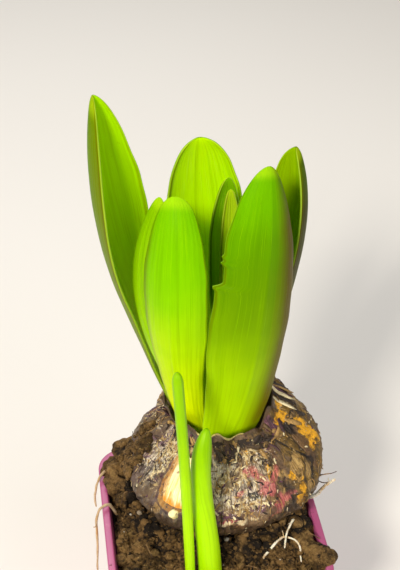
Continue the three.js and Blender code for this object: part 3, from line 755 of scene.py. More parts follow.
# %% Patches on the skin
# turn and v of the middle, half its size in degrees and in v, slant in degrees for each unit of v, and
# how deep it is
PATCHES = {
    "cream": [
        (274, 0.635, 7, 0.02, 0, 0.2), (262, 1.2, 20, 0.02, 0, 0), (226, 1.07, 2, 0.07, -20, 0.2),
        (283, 0.97, 1.6, 0.02, 30, 0.1), (263, 0.64, 4, 0.016, 0, 0.1), (152, 1.1, 3, 0.03, 0, 0.1),
    ],
    "orange": [
        (352, 1.14, 14, 0.045, 0, 0.3), (335, 1.08, 8, 0.05, 0, 0.2), (347, 0.88, 4.6, 0.08, -20, 0.3),
        (12, 1.13, 16, 0.06, 0, 0.2), (311, 0.8, 2.4, 0.04, -30, 0.2), (316, 0.7, 2.6, 0.03, 0, 0.5),
        (344, 0.81, 3, 0.05, 60, 0.2), (314, 0.62, 3.6, 0.045, -40, 0.9), (317, 0.755, 1.5, 0.015, 0, 0),
        (284, 0.985, 2, 0.015, 0, 0.1), (296, 0.885, 1.2, 0.04, 40, 0), (90, 1.0, 12, 0.05, 0, 0.3),
    ],
    "pink": [
        (287, 0.87, 4.4, 0.05, -70, 0.25), (291, 0.8, 5.4, 0.06, -60, 0.3), (298, 0.84, 3.4, 0.05, 100, 0.3),
        (296, 0.69, 5, 0.05, 50, 0.3), (272, 0.8, 3.4, 0.02, 60, 0), (280, 0.89, 3, 0.02, 0, 0),
        (263, 0.655, 5, 0.014, 0, 0.1), (60, 0.8, 7, 0.06, 0, 0.3), (305, 0.7, 5, 0.02, 0, 0.2),
    ],
    "purple": [
        (262, 0.69, 6, 0.016, 0, 0.15), (258, 0.66, 7, 0.01, 0, 0.3), (215, 0.84, 1.0, 0.1, 40, -0.25),
        (192, 0.78, 3.4, 0.04, 50, 0.15), (285, 0.71, 6, 0.03, 0, 0.1), (322, 1.08, 6, 0.05, -60, 0.2),
        (270, 0.66, 8, 0.008, 0, 0.3), (258, 0.72, 3, 0.02, 0, 0), (150, 0.8, 5, 0.08, 0, 0.2),
        (196, 0.9, 5, 0.05, 40, 0.15), (183, 0.84, 4, 0.06, 60, 0.15), (320, 1.12, 4, 0.06, -40, 0.2),
        (30, 0.75, 8, 0.05, 30, 0.2), (105, 0.75, 8, 0.05, -30, 0.2), (300, 0.97, 8, 0.02, 0, 0.2),
    ],
    "tan": [
        (306, 0.83, 3, 0.06, -110, -0.3), (303, 0.72, 2, 0.05, 0, 0.1), (263, 0.86, 7, 0.06, 30, 0.1),
        (271, 0.88, 6, 0.05, 30, 0.1), (222, 0.69, 2.4, 0.08, 60, 0.15), (160, 0.9, 8, 0.06, 0, 0.2),
        (322, 0.66, 3, 0.03, 0, 0.2), (12, 0.85, 7, 0.06, 0, 0.2), (130, 0.78, 6, 0.06, 0, 0.2),
        (285, 0.9, 2, 0.03, -60, 0), (213, 0.9, 6, 0.06, 0, 0.1), (318, 0.84, 5, 0.05, 60, 0.2),
        (326, 0.76, 4, 0.04, 0, 0.2),
    ],
    "grey": [
        (258, 0.85, 14, 0.09, 0, 0), (284, 0.82, 8, 0.07, 0, 0.1), (196, 0.86, 12, 0.1, 0, 0.1),
        (205, 0.96, 9, 0.05, 0, 0.1), (344, 1.16, 4, 0.04, 0, 0),
    ],
    "dark": [
        (246, 0.96, 4.5, 0.07, -20, 1.0), (309, 0.63, 1.2, 0.08, -20, 0.8), (320, 0.57, 6, 0.025, 0, 0.4),
        (238, 0.99, 7, 0.07, -40, 0.8), (290, 1.06, 18, 0.05, 0, 0.3), (324, 0.88, 1.1, 0.12, -85, 0.8),
        (350, 1.0, 14, 0.03, 60, 0.4), (334, 0.98, 5, 0.06, -60, 0.5), (4, 1.02, 5, 0.05, 60, 0.5),
        (245, 0.7, 2.0, 0.08, 0, 0.5), (210, 1.1, 16, 0.06, 0, 0.4), (330, 0.72, 2, 0.06, 80, 0.3),
        (268, 0.97, 12, 0.02, 0, 0.4), (350, 0.87, 2.4, 0.02, 0, 0.2), (346, 0.93, 2, 0.012, 0, 0.2),
        (282, 0.765, 5, 0.02, 40, 0.3),
    ],
    "flecks": [
        (268, 0.88, 15, 0.08, 30, 0), (276, 0.74, 11, 0.05, 0, 0), (290, 0.97, 12, 0.05, 0, 0),
        (208, 0.86, 14, 0.12, 30, 0), (160, 0.9, 16, 0.1, 0, 0),
    ],
}


def patch_field(kind, angle, v, place):
    """The highest of 1 - d / 2 over the patches of a kind, where d is the distance from a patch's middle
    in half sizes, made uneven by noise at two sizes."""
    turn = np.degrees(angle)
    uneven = 1.3 * (fractal(place, 4.5, 4, seed=len(kind)) - 0.5) + 0.5 * (fractal(place, 1.5, 2, 17) - 0.5)
    field = np.zeros(np.broadcast(angle, v).shape)
    depth = np.zeros_like(field)
    for middle, height, half_turn, half_v, slant, step in PATCHES[kind]:
        off = (turn - middle - slant * (v - height) + 180) % 360 - 180
        d = np.hypot(off / half_turn, (v - height) / half_v) + uneven
        here = np.clip(1 - d / 2, 0, 1)
        depth = np.where(here > field, step, depth)
        field = np.maximum(field, here)
    return field, depth * smooth((field - 0.44) / 0.12)


print("patches of each kind:", {kind: len(rows) for kind, rows in PATCHES.items()})


# %% [markdown]
# ### The dressed skin
#
# The grid follows the plain form and then goes into fine relief: wrinkles along the meridians, lumps of
# caked soil, coats that end in torn steps, and the split where a pale scale of the flesh shows. The
# split's rim is lifted a little, as dry skin curls back from a crack.

# %% Fine relief
SPLIT = dict(turn=231, v=0.82, half_turn=13.5, half_v=0.145, depth=2.9)
SKIN_COLUMNS = 480


def split_share(angle, v, uneven=0):
    """The distance from the split's middle in half sizes, with cubes in place of squares, which gives it
    straight sides and round corners: under 1 is inside it."""
    turn = np.abs(np.degrees(angle) - SPLIT["turn"]) / SPLIT["half_turn"]
    rise = np.abs(v - SPLIT["v"]) / SPLIT["half_v"]
    return (turn**3 + rise**3) ** (1 / 3) + uneven


def fine_relief(angle, v, place):
    """Wrinkles, knobs, caked lumps and torn coats, in millimetres out from the plain skin."""
    round_about = np.stack(np.broadcast_arrays(30 * np.cos(angle), 30 * np.sin(angle), 9 * v), axis=-1)
    wrinkles = fractal(round_about, 2.2, 3, seed=5) - 0.5
    ridges = 1 - np.abs(2 * fractal(round_about, 3.6, 2, seed=9) - 1)
    lumps = fractal(place, 5, 3, seed=3) - 0.5
    knobs = fractal(place, 1.9, 3, seed=33) - 0.5
    shoulder = 1.6 * bell(angle - radians(178), 0.35) * bell(v - 0.86, 0.12)
    patches = smooth((fractal(place, 9, 3, seed=21) - 0.5 + 0.2 * shoulder) * 6)
    caked = patches * np.maximum(fractal(place, 1.8, 3, seed=2) - 0.3, 0) * (1 + shoulder)
    coats = fractal(round_about * (1, 1, 0.9), 7, 5, seed=14)
    worn = 0.45 * smooth((coats - 0.5) / 0.02) + 0.4 * smooth((coats - 0.6) / 0.02)
    relief = 0.8 * wrinkles + 0.45 * ridges**4 + 1.7 * lumps + 1.1 * knobs + 1.6 * caked
    # painted shade in the low places of the relief, where its knobs, wrinkles and lumps sink
    hollow_shade = np.clip(0.5 - 1.1 * knobs - 0.9 * wrinkles - 0.5 * lumps, 0, 1)
    return relief * smooth(5 * v - 2) * (1 - 0.6 * smooth((v - 1.1) * 12)) - worn, coats, caked, hollow_shade


def dressed(angle, v):
    """How far the finished skin stands out from the plain one, and what the finish reads from it."""
    plain = skin_point(angle, v)
    relief, coats, caked, hollow_shade = fine_relief(angle, v, plain)
    fields = {}
    for kind in PATCHES:
        fields[kind], depth = patch_field(kind, angle, v, plain)
        relief = relief - depth
    inside = split_share(angle, v, 0.28 * (fractal(plain, 3, 3, seed=31) - 0.5))
    rim = 0.5 * bell(inside - 1.08, 0.1)
    relief = mix(relief + rim, -SPLIT["depth"], smooth((1.02 - inside) / 0.07))
    return relief, dict(coats=coats, caked=caked, hollow_shade=hollow_shade, split=np.minimum(inside, 2), **fields)


print("a line up the front stands out by", dressed(radians(270), np.linspace(0.4, 1, 5))[0].round(2), "mm")

# %% Weave the skin
# the rings inside the neck: out from its radius, up from its top, and whether they follow the torn edge
NECK_LINING = [(0.45, 0, 1), (0.2, -0.3, 1), (0, -2, 1), (-0.8, -7, 0)]
SOCKET = dict(x=5.5, y=19, z=83.0, radius=15.6)


def bulb_skin():
    """The outside up to the ragged edge, then down inside the neck and the socket to a closed end."""
    angle = ring(SKIN_COLUMNS)[None, :]
    v = np.concatenate([np.linspace(0.18, 1, 150), np.linspace(1, NECK_TOP, 42)[1:]])[:, None]
    relief, measures = dressed(angle, v)
    plain = skin_point(angle, v)
    outer = skin_point(angle, v, relief)

    edge = ragged_edge(angle) + 0.8 * (fractal(plain[-1:], 1.4, 3, seed=8) - 0.4)
    lining = [neck_point(angle, NECK["radius"] + out, edge * torn + rise) for out, rise, torn in NECK_LINING]
    x = SOCKET["x"] + SOCKET["radius"] * np.cos(angle)
    y = SOCKET["y"] + SOCKET["radius"] * np.sin(angle)
    grid = np.concatenate([outer, *lining, np.stack(np.broadcast_arrays(x, y, SOCKET["z"]), axis=-1)])
    extra = len(grid) - len(outer)

    def with_rings(values):
        """The outside's values, with the last row's again for each ring inside the neck."""
        values = np.broadcast_to(values, outer.shape[:2])
        return np.concatenate([values, np.repeat(values[-1:], extra, axis=0)])

    up = np.concatenate([v, NECK_TOP + 0.02 * np.arange(1, extra + 1)[:, None]])
    measures = {name: with_rings(values) for name, values in measures.items()}
    around = dict(cosine=np.cos(angle), sine=np.sin(angle))
    return tube_part(grid, uv=(angle / (2 * np.pi), up / 1.3), up=up, **around, **measures)


SKIN = bulb_skin()
print("the skin's own points reach", SKIN.points.min(0).round(1), SKIN.points.max(0).round(1))


# %% [markdown]
# ### The skin's finish
#
# Dry hyacinth skin is brown to grey paper with purple under it. The finish starts from that brown, greyer on
# the left partly as painted sheen, adds long fibres that run up the meridians, and lays each kind of patch
# over it. A patch's edge is torn by fine noise, so it ends in small tatters. Then come pale flecks, some of
# them painted glints, dark flecks, painted shade in the hollows, a darker brown low down that is partly soil
# and partly painted shade, caked soil and the rims of the split and of the neck.

# %% Papery skin
def skin_finish():
    """Coat over coat: the brown, greyer on the left partly as painted sheen, its fibres, the patches, the
    flecks with painted glints among them, painted shade in the hollows, the soil with painted shade low
    down, the rims.
    """
    skin = Finish("bulb_skin")
    place = skin.place()
    up, cosine, sine, layers, split = (skin.measure(n) for n in ("up", "cosine", "sine", "coats", "split"))
    round_about = skin.node("ShaderNodeCombineXYZ", None, {0: cosine, 1: sine, 2: up * 0.35})
    fibres = skin.noise(round_about, 34.0, 4.0, 0.65)
    threads = skin.noise(skin.stretch(round_about, 1.0, 1.0, 0.4), 90.0, 3.0, 0.6)
    blotch = skin.noise(place, 150.0, 5.0, 0.65)
    small = skin.noise(place, 620.0, 5.0, 0.7)
    tiny = skin.noise(place, 1900.0, 3.0, 0.6)
    mottle, grain = blotch - 0.5, small - 0.5

    colour = skin.coats(
        skin.coat("#332310", "#86663a", blotch + grain * 0.6, 0.36, 0.66),
        (skin.mixed("#443000", "#8a6600", small), cosine + mottle * 0.4, 0.5, 0.8, 0.9),
        # greyer on the left, the side towards the lamp: partly the skin's grey, partly painted sheen
        ("#6e645a", cosine + mottle * 0.5, -0.3, -0.7, 0.7),
        ("#b89458", fibres + (tiny - 0.5) * 0.3, 0.54, 0.7, 0.6),
        ("#22160f", fibres + grain * 0.3, 0.46, 0.32, 0.8),
        ("#5a3440", layers, 0.50, 0.52, 0.3),
        ("#a08460", layers, 0.60, 0.62, 0.5),
    )
    # each kind of patch: two colours, what leads from one to the other, and from where to where; then
    # where the patch comes in and is full, its share, and how far its edge is torn
    rough = grain * 0.8 + (threads - 0.5) * 0.5
    for kind, colours, (low, high, share, torn) in (
        ("grey", ("#8a7868", "#f4e4cc", threads + grain * 0.6, 0.36, 0.66), (0.2, 0.5, 0.9, 1)),
        ("dark", ("#170d08", "#170d08", threads, 0.4, 0.6), (0.4, 0.55, 0.9, 0.6)),
        ("tan", ("#7a5626", "#d0ab64", threads, 0.35, 0.65), (0.4, 0.6, 0.75, 1)),
        ("purple", ("#2c1426", "#7a3c62", threads, 0.35, 0.7), (0.42, 0.62, 0.8, 1)),
        ("pink", ("#983038", "#dc7c74", threads + grain * 0.5, 0.35, 0.7), (0.36, 0.62, 0.85, 0.7)),
        ("cream", ("#b88c5c", "#f2e0b4", threads, 0.3, 0.6), (0.44, 0.56, 0.95, 1)),
        ("orange", ("#6a3a08", "#e6a60e", small + mottle * 0.4, 0.34, 0.5), (0.44, 0.54, 1, 0.8)),
    ):
        colour = skin.coat(colour, skin.coat(*colours), skin.measure(kind) + rough * torn, low, high, share)

    dense = skin.measure("flecks") * 0.2
    colour = skin.coats(
        colour,
        (skin.mixed("#c8a868", "#e6d4a8", tiny), small + dense + mottle * 0.2, 0.64, 0.70, 0.85),
        # near-white specks, thick where the flecks lie: partly pale paper, partly painted glints
        ("#f6eedc", tiny + dense * 0.6, 0.68, 0.73, 0.9),
        ("#150c08", tiny + grain * 0.4, 0.4, 0.32, 0.75),
        # painted shade, near black, in the hollows of the relief
        ("#1a100a", skin.measure("hollow_shade") + grain * 0.3, 0.55, 0.95, 0.8),
        # darker towards the bottom: partly soil on the skin, partly painted shade near the ground
        (skin.mixed("#24180f", "#5f4a32", small), up + mottle * 0.3, 0.68, 0.5, 0.9),
        (skin.mixed("#2e2015", "#75593a", small), skin.measure("caked"), 0.12, 0.4, 0.85),
        ("#9c6a2c", split, 0.99, 0.93, 0.9),
    )
    ragged = split + grain * 0.25
    colour = skin.mixed(colour, "#b47a34", skin.band(ragged, 0.98, 1.02, 1.04, 1.1) * 0.7)
    colour = skin.mixed(colour, "#3e1c30", skin.band(ragged, 1.12, 1.16, 1.22, 1.3) * 0.6)
    colour = skin.coat(colour, skin.mixed("#2e2014", "#6b4e30", small), up, 1.17, 1.19, 0.85)
    rim = skin.between(up, 1.188, 1.199) * skin.between(skin.measure("cream"), 0.3, 0.45)
    colour = skin.mixed(colour, skin.mixed("#e6cc60", "#fff4a0", small), rim)

    height = fibres * 0.5 + threads * 0.35 + small * 0.8 + tiny * 0.3
    return skin.surface(
        Base_Color=colour,
        Roughness=0.26 + 0.4 * blotch,
        Specular_IOR_Level=0.5,
        Normal=skin.relief(height, 0.0008, 0.9),
    )


BULB_SKIN = skin_finish()
piece("bulb_skin", [SKIN], BULB_SKIN, "bulb_skin", "bulb")


# %% [markdown]
# ### The pale scale in the split
#
# Where the brown skin has split, a fleshy storage scale shows. It is smooth, damp and cream, ribbed
# lengthwise, and stained orange where it dries out along its lower edge. It is a lens-shaped body that
# reaches a little way under the skin's rim on all sides.

# %% The scale's shape
def split_scale(rows=60, columns=72):
    """Rings from the middle of the face out to the rim and back under: a closed lens."""
    share = np.concatenate([np.linspace(0.02, 1, rows), np.linspace(1, 0.02, 12)[1:]])[:, None]
    low = np.concatenate([np.full(rows, -0.75), np.full(11, -2.4)])[:, None]
    a = ring(columns)[None, :]
    across, rise = np.cos(a), np.sin(a)
    square = (np.abs(across) ** 3 + np.abs(rise) ** 3) ** (1 / 3)
    turn = SPLIT["turn"] + share * (SPLIT["half_turn"] + 1.2) * across / square
    v = SPLIT["v"] + share * (SPLIT["half_v"] + 0.012) * rise / square
    uneven = fractal(skin_point(radians(turn), v), 6, 2, 4) - 0.5
    ribs = 0.09 * np.sin(radians(turn) * 75) + 0.3 * uneven
    crown = 0.35 * (1 - share**2) * (low > -1)
    face = skin_point(radians(turn), v, low + ribs * (low > -1) + crown)
    rise = (v - SPLIT["v"]) / SPLIT["half_v"] / 2 + 0.5
    across = (turn - SPLIT["turn"]) / SPLIT["half_turn"] / 2.6 + 0.5
    return tube_part(face, uv=(across, rise))


print("the scale has", len(split_scale().points), "points")

# %% The scale's finish
def flesh_finish():
    """Cream, with fine upright lines, and orange along the lower and left edge."""
    flesh = Finish("bulb_flesh")
    uv = flesh.uv()
    across, rise = flesh.split(uv, 0), flesh.split(uv, 1)
    lines = flesh.noise(flesh.stretch(uv, 40.0, 3.0, 0.0), 1.0, 3.0, 0.6)
    patch = flesh.noise(flesh.place(), 420.0, 3.0)
    colour = flesh.coats(
        flesh.coat("#f2d684", "#fff2c4", lines, 0.4, 0.62),
        ("#ec9420", rise + (patch - 0.5) * 0.6 + (lines - 0.5) * 0.6 + across * 0.3, 0.4, 0.12, 0.95),
        ("#b0702a", across + (patch - 0.5) * 0.2 + (lines - 0.5) * 0.15, 0.24, 0.12, 0.85),
        ("#8a4c1a", patch, 0.62, 0.68, 0.7),
    )
    return flesh.surface(
        Base_Color=colour,
        Roughness=0.36,
        Subsurface_Weight=0.3,
        Subsurface_Radius=(1.0, 0.6, 0.3),
        Subsurface_Scale=0.0015,
        Normal=flesh.relief(lines, 0.0003, 0.5),
    )


def pebble(centre, radii, rows=20, columns=32):
    """A lumpy ellipsoid, as rings from one end to the other."""
    down = np.linspace(0.06, np.pi - 0.06, rows)[:, None]
    a = ring(columns)[None, :]
    way = np.stack([np.sin(down) * np.cos(a), np.sin(down) * np.sin(a), -np.cos(down) + 0 * a], axis=-1)
    lumpy = 1 + 0.5 * (fractal(way, 0.8, 2, 6) - 0.5)
    grid = centre + way * lumpy[..., None] * radii
    return tube_part(grid, uv=(0.5 + 0 * a, 0.3 + 0.1 * down))


# the nub under the scale is a bulblet's bud, as pale as the scale
nub = pebble(skin_point(radians(231), 0.662, 0.5), (1.7, 1.5, 1.4))
piece("bulb_scale_face", [split_scale(), nub], flesh_finish(), "bulb_flesh", "bulb_scale")


# %% [markdown]
# ### Flakes, fibres and scraps
#
# The dry coats break up into slivers that still cling to the bulb. Each sliver is a thin closed strip
# that walks over the skin from its middle, at a heading of its own, bends a little and lifts at its
# upper end. The same function makes the dust-sized flakes, the long fibres and the torn scraps round
# the neck; only the numbers differ.

# %% Strips on the skin
STEPS = np.linspace(-0.5, 0.5, 7)
LOWEST_V = 0.2


def slivers(turn, v, heading, length, width, lift, bend, tone, thickness=0.14):
    """Closed strips on the skin. Along and across each, millimetres become a turn and a rise by the
    radius there and by the skin's length for each unit of v; the height is lift * (u + 1/2) squared."""
    given = np.broadcast_arrays(turn, v, heading, length, width, lift, bend, tone)
    turn, v, heading, length, width, lift, bend, tone = (a[:, None, None] for a in given)
    angle, heading = radians(turn), radians(heading)
    radius = bulb_row(np.minimum(v, 1))[1]
    per_v = np.linalg.norm(skin_point(angle, v + 0.01) - skin_point(angle, v - 0.01), axis=-1) / 0.02

    u = STEPS[None, :, None]
    side = np.array([0.5, -0.5, -0.5, 0.5])
    top = np.array([1, 1, 0, 0])
    along = u * length
    across = side * np.sqrt(1.02 - (2 * u) ** 2) * width + bend * length * (u**2 - 0.08)
    turned, risen = np.cos(heading), np.sin(heading)
    at_angle = angle + (along * turned - across * risen) / radius
    at_v = np.clip(v + (along * risen + across * turned) / per_v, LOWEST_V, NECK_TOP + 0.03)
    rest = dressed(at_angle[..., :1], at_v[..., :1])[0]
    grid = skin_point(at_angle, at_v, rest + 0.02 + lift * (u + 0.5) ** 2 + thickness * top)

    rows, columns = grid.shape[1:3]
    count = rows * columns
    one = np.concatenate([grid_faces(rows, columns), [(3, 2, 1, 0), np.arange(count - 4, count)]])
    faces = one[None] + count * np.arange(len(grid))[:, None, None]
    along, across, tones = np.broadcast_arrays(u + 0.5, side + 0.5, tone)
    return Part(grid, [faces.reshape(-1, 4)], np.stack([along, across], axis=-1), tone=tones)


print("a strip has", len(slivers([0], 0.8, 90, 5, 1, 0, 0, 0).points), "points")

# %% Many slivers
def scattered(count, seed, least_v=0.5, most_v=1.1, base=0.1):
    """Turns and heights where slivers lie: many where the "flecks" patches are, few elsewhere, and none
    over the split."""
    rng = np.random.default_rng(seed)
    turn, v = rng.uniform(0, 360, 12 * count), rng.uniform(least_v, most_v, 12 * count)
    angle = radians(turn)
    dense = patch_field("flecks", angle, v, skin_point(angle, v))[0]
    kept = (rng.random(len(turn)) < base + dense) & (split_share(angle, v) > 1.25)
    chosen = np.flatnonzero(kept)[:count]
    return turn[chosen], v[chosen], rng


def flakes(count, seed):
    """Small flakes at every heading."""
    turn, v, rng = scattered(count, seed)
    n = len(turn)
    length = mix(0.4, 2.2, rng.random(n) ** 2)
    return slivers(
        turn, v, rng.uniform(0, 360, n), length, length * rng.uniform(0.15, 0.45, n),
        rng.uniform(0, 0.5, n), rng.uniform(-0.5, 0.5, n), rng.random(n))


def fibres(count, seed):
    """Long thin fibres that run mostly up and down."""
    turn, v, rng = scattered(count, seed, 0.55, 1.05, 0.3)
    n = len(turn)
    return slivers(
        turn, v, rng.normal(90, 28, n), rng.uniform(3, 10, n), rng.uniform(0.14, 0.3, n),
        rng.uniform(0, 0.6, n), rng.normal(0, 0.5, n), mix(0.28, 0.9, rng.random(n)))


def neck_scraps(count, seed):
    """Torn papery tongues round most of the neck that point up and stand off it."""
    rng = np.random.default_rng(seed)
    return slivers(
        rng.uniform(-20, 322, count), rng.uniform(0.95, 1.14, count), rng.normal(90, 40, count),
        rng.uniform(2.5, 6, count), rng.uniform(0.7, 2, count), rng.uniform(0.2, 1.3, count),
        rng.normal(0, 0.3, count), mix(0.45, 1, rng.random(count)), 0.2)


# %% Scraps that have a place of their own
# turn, v, heading, length, width, lift, bend and tone (0 cream, 0.4 tan, 0.8 near black, 1 purplish)
SCRAPS = np.array([
    (350, 1.13, 268, 8, 1.4, 1.5, 0.05, 0.12), (355, 1.13, 266, 8, 1.3, 1.7, 0.1, 0.8),
    (0, 1.13, 268, 9, 1.6, 1.9, 0.12, 0.15), (5, 1.12, 268, 9.5, 1.4, 1.6, 0.1, 0.93),
    (10, 1.1, 270, 9, 1.2, 1.5, 0.12, 0.45), (14, 1.06, 270, 8.5, 1.5, 1.2, 0.1, 0.75),
    (12, 0.96, 290, 7, 1.2, 1, 0.1, 0.55), (328, 1.05, 60, 5, 1.8, 0.6, 0.2, 0.9),
    (318, 1.03, 30, 6, 1.3, 0.6, 0.3, 0.5), (305, 1.02, 20, 6, 1.2, 0.5, 0.2, 0.8),
    (294, 1.03, 170, 7, 1.4, 0.5, -0.2, 0.7), (224, 1.04, 250, 5.5, 0.8, 0.6, 0.1, 0.0),
    (228, 1.02, 255, 5, 0.6, 0.5, 0.1, 0.1), (233, 1.06, 260, 5, 2.2, 0.3, 0, 0.3),
    (220, 1.08, 240, 5, 2, 0.8, 0.1, 0.9), (205, 1.12, 80, 4.5, 1.6, 1.3, 0.1, 0.5),
    (196, 1.14, 95, 5, 1.8, 1.4, 0.1, 0.9), (188, 1.1, 70, 4, 1.4, 1, 0.1, 0.6),
    (340, 0.98, 310, 6, 1.4, 0.8, 0.2, 0.45), (352, 0.96, 300, 8, 1.5, 0.8, 0.2, 0.8),
]).T
print(SCRAPS.shape[1], "scraps have a place of their own")

# %% [markdown]
# The slivers' finish is one ramp: cream, tan, dark brown and a purplish brown, by each sliver's own
# tone, with fine mottling so that no two neighbours match.

# %% Sliver finish
def sliver_finish():
    """Cream, tan, near black or purplish brown by the tone, mottled."""
    dry = Finish("bulb_slivers")
    place = dry.place()
    small, tiny = dry.noise(place, 700.0, 3.0, 0.6), dry.noise(place, 2200.0, 2.0)
    tone = dry.measure("tone") + (small - 0.5) * 0.25
    colour = dry.coats(
        dry.coat("#f0dfb2", "#b08a4e", tone, 0.1, 0.35),
        ("#2e2015", tone, 0.45, 0.75),
        ("#553040", tone, 0.85, 0.95),
        ("#3a2818", tiny, 0.56, 0.7, 0.6),
    )
    return dry.surface(Base_Color=colour, Roughness=0.6, Normal=dry.relief(tiny + small, 0.0003, 0.7))


parts = [flakes(1100, 11), fibres(110, 12), neck_scraps(90, 13), slivers(*SCRAPS, thickness=0.3)]
piece("bulb_slivers", parts, sliver_finish(), "bulb_skin")


# %% [markdown]
# ## The soil
#
# Potting soil is crumbs at every size. Its surface is a grid of square rings drawn in from the pot's
# wall, raised by three sizes of rounded cells: each cell is a dome round its own scattered point, so the
# creases between them are as sharp as between real crumbs. Clods and loose crumbs lie on it as bodies of
# their own, all pushed out of round by noise.

# %% The room inside the pot
POT = dict(rim=70, foot=50, height=64, corner=9.5, wall=1.6, floor=1.8, band=7, step=1)
SOIL_LEVEL = 60.5
SOIL_ROWS = 150
OVERHANG = 3  # how far out from the bulb the ground is still in its shade


def wall_half(z):
    """Half the width of the pot's wall at height z: straight from the foot's to the rim's."""
    return mix(POT["foot"] / 2, POT["rim"] / 2 - POT["step"], z / POT["height"])


def wall_corner(z):
    """The corner's radius at height z: three quarters of the rim's at the foot."""
    return mix(0.75, 1, z / POT["height"]) * POT["corner"]


def square_ring(half, corner, z, per_corner=16, per_side=16):
    """Points round a square with round corners: a quarter's arc and side, turned four times."""
    a = np.arange(per_corner) / per_corner * np.pi / 2
    arc = np.stack([half - corner + corner * np.cos(a), half - corner + corner * np.sin(a)])
    along = mix(half - corner, corner - half, np.arange(per_side) / per_side)
    x, y = np.concatenate([arc, [along, np.full(per_side, half)]], axis=1)
    around = np.concatenate([np.stack(turned, axis=-1) for turned in ((x, y), (-y, x), (-x, -y), (y, -x))])
    return np.concatenate([around, np.full((len(around), 1), z)], axis=1)


def inside_ring(z, clear, per_corner, per_side):
    """A ring just inside the pot's wall at height z."""
    inwards = POT["wall"] + clear
    return square_ring(wall_half(z) - inwards, wall_corner(z) - inwards, z, per_corner, per_side)


print("the wall is", [float(2 * wall_half(z)) for z in (0, POT["height"])], "mm wide at its foot and rim")

# %% Heaps and crumbs
def soil_height(x, y):
    """The plain surface: heaped 7 mm high against the bulb, gently rolling, with a crack 4 mm deep along
    the bulb's left."""
    from_bulb = np.maximum(np.hypot(x - BULB_X, y - BULB_Y) - 23, 0)
    heap = 7 * bell(from_bulb, 8)
    swell = np.sin(0.45 * x + 0.6 * y) * np.sin(0.5 * y - 0.35 * x + 1)
    crumb = 0.5 * np.sin(0.7 * x - 0.4 * y + 2)
    crack = -4 * bell(x + 22.5 + 0.35 * (y - 10), 1.6) * smooth(1.2 - np.abs(y - 12) / 14)
    return SOIL_LEVEL + heap + swell + crumb + crack


def domes(points, size, seed):
    """Rounded cells: 1 at each scattered point, falling as 1 - (distance / size) squared."""
    at = points / size
    cell = np.floor(at)
    nearest = np.full(at.shape[:-1], 9.0)
    for step in np.ndindex(3, 3, 3):
        there = cell + np.array(step) - 1
        scatter = np.stack([lattice(there, seed + axis) for axis in range(3)], axis=-1)
        nearest = np.minimum(nearest, np.sum((there + scatter - at) ** 2, axis=-1))
    return 1 - nearest


def crumble(points):
    """Domes 6, 2.7 and 1.3 mm across, bent by noise: their height, about -2 to 3 mm, and a number from 0 in
    the creases to 1 on the tops, from which the finish paints shade in the creases and light on the tops."""
    bent = points + 2.5 * np.stack([noise(points, 3, seed) for seed in (61, 62, 63)], axis=-1)
    large, middle, small = domes(bent, 6, 70), domes(bent, 2.7, 80), domes(bent, 1.3, 90)
    height = 2.7 * (large - 0.7) + 1.5 * (middle - 0.7) + 0.55 * (small - 0.7)
    height = height + 1.6 * (fractal(points, 11, 3, 44) - 0.5)
    return height, np.clip(0.45 + 0.5 * (large - 0.6) + 0.6 * (middle - 0.65) + 0.35 * (small - 0.7), 0, 1)


def bulb_shadow(points):
    """1 under the bulb's overhang, easing to 0 out from its widest row: how deep in the bulb's shadow each
    point is, which the finish paints as shadow on the soil."""
    widest = BULB_ROWS[BULB_ROWS[:, 1].argmax(), 0] - 1
    v = np.interp(np.maximum(points[..., 2], widest), BULB_ROWS[:, 0], np.linspace(0, 1, len(BULB_ROWS)))
    middle = np.stack([np.full_like(v, BULB_X), bulb_row(v)[2]], axis=-1)
    off = points[..., :2] - middle
    skin = skin_point(np.arctan2(off[..., 1], off[..., 0]), v)[..., :2] - middle
    gap = np.hypot(off[..., 0], off[..., 1]) - np.hypot(skin[..., 0], skin[..., 1])
    return smooth(1 - gap / OVERHANG)


print("the ground in front of the bulb is at", soil_height(BULB_X, np.array([-20, -25, -30])).round(1))

# %% The soil's surface
def soil_surface():
    """Square rings from the pot's floor up its wall, then over the heaped surface to the middle."""
    per = (60, 80)
    edge = inside_ring(SOIL_LEVEL, 0.3, *per)
    shares = np.sqrt(np.linspace(1, 0.0016, SOIL_ROWS))[:, None, None]
    top = edge[None] * shares
    x, y = top[..., 0], top[..., 1]
    top[..., 2] = soil_height(x, y)
    height, crest = crumble(top)
    # the bulb's painted shadow on the soil lowers the crest, which darkens it
    crest = crest - 0.35 * bulb_shadow(top)
    near_wall = smooth((1 - shares[..., 0]) * 14)
    top[..., 2] += height * mix(0.5, 1, near_wall) - 0.6 - 0.8 * (1 - near_wall)
    drift = np.stack([noise(top, 2.2, 51), noise(top, 2.2, 52)], axis=-1) - 0.5
    top[..., :2] += 1.5 * drift * near_wall[..., None]
    foot = [inside_ring(z, 0.35, *per)[None] for z in (2.15, 20, 40, 55)]
    grid = np.concatenate([*foot, top])
    crest = np.concatenate([np.full((4, grid.shape[1]), 0.4), crest])
    u, v = (grid[..., axis] / POT["rim"] + 0.5 for axis in (0, 1))
    return tube_part(grid, uv=(u, v), crest=crest, tint=0 * crest)


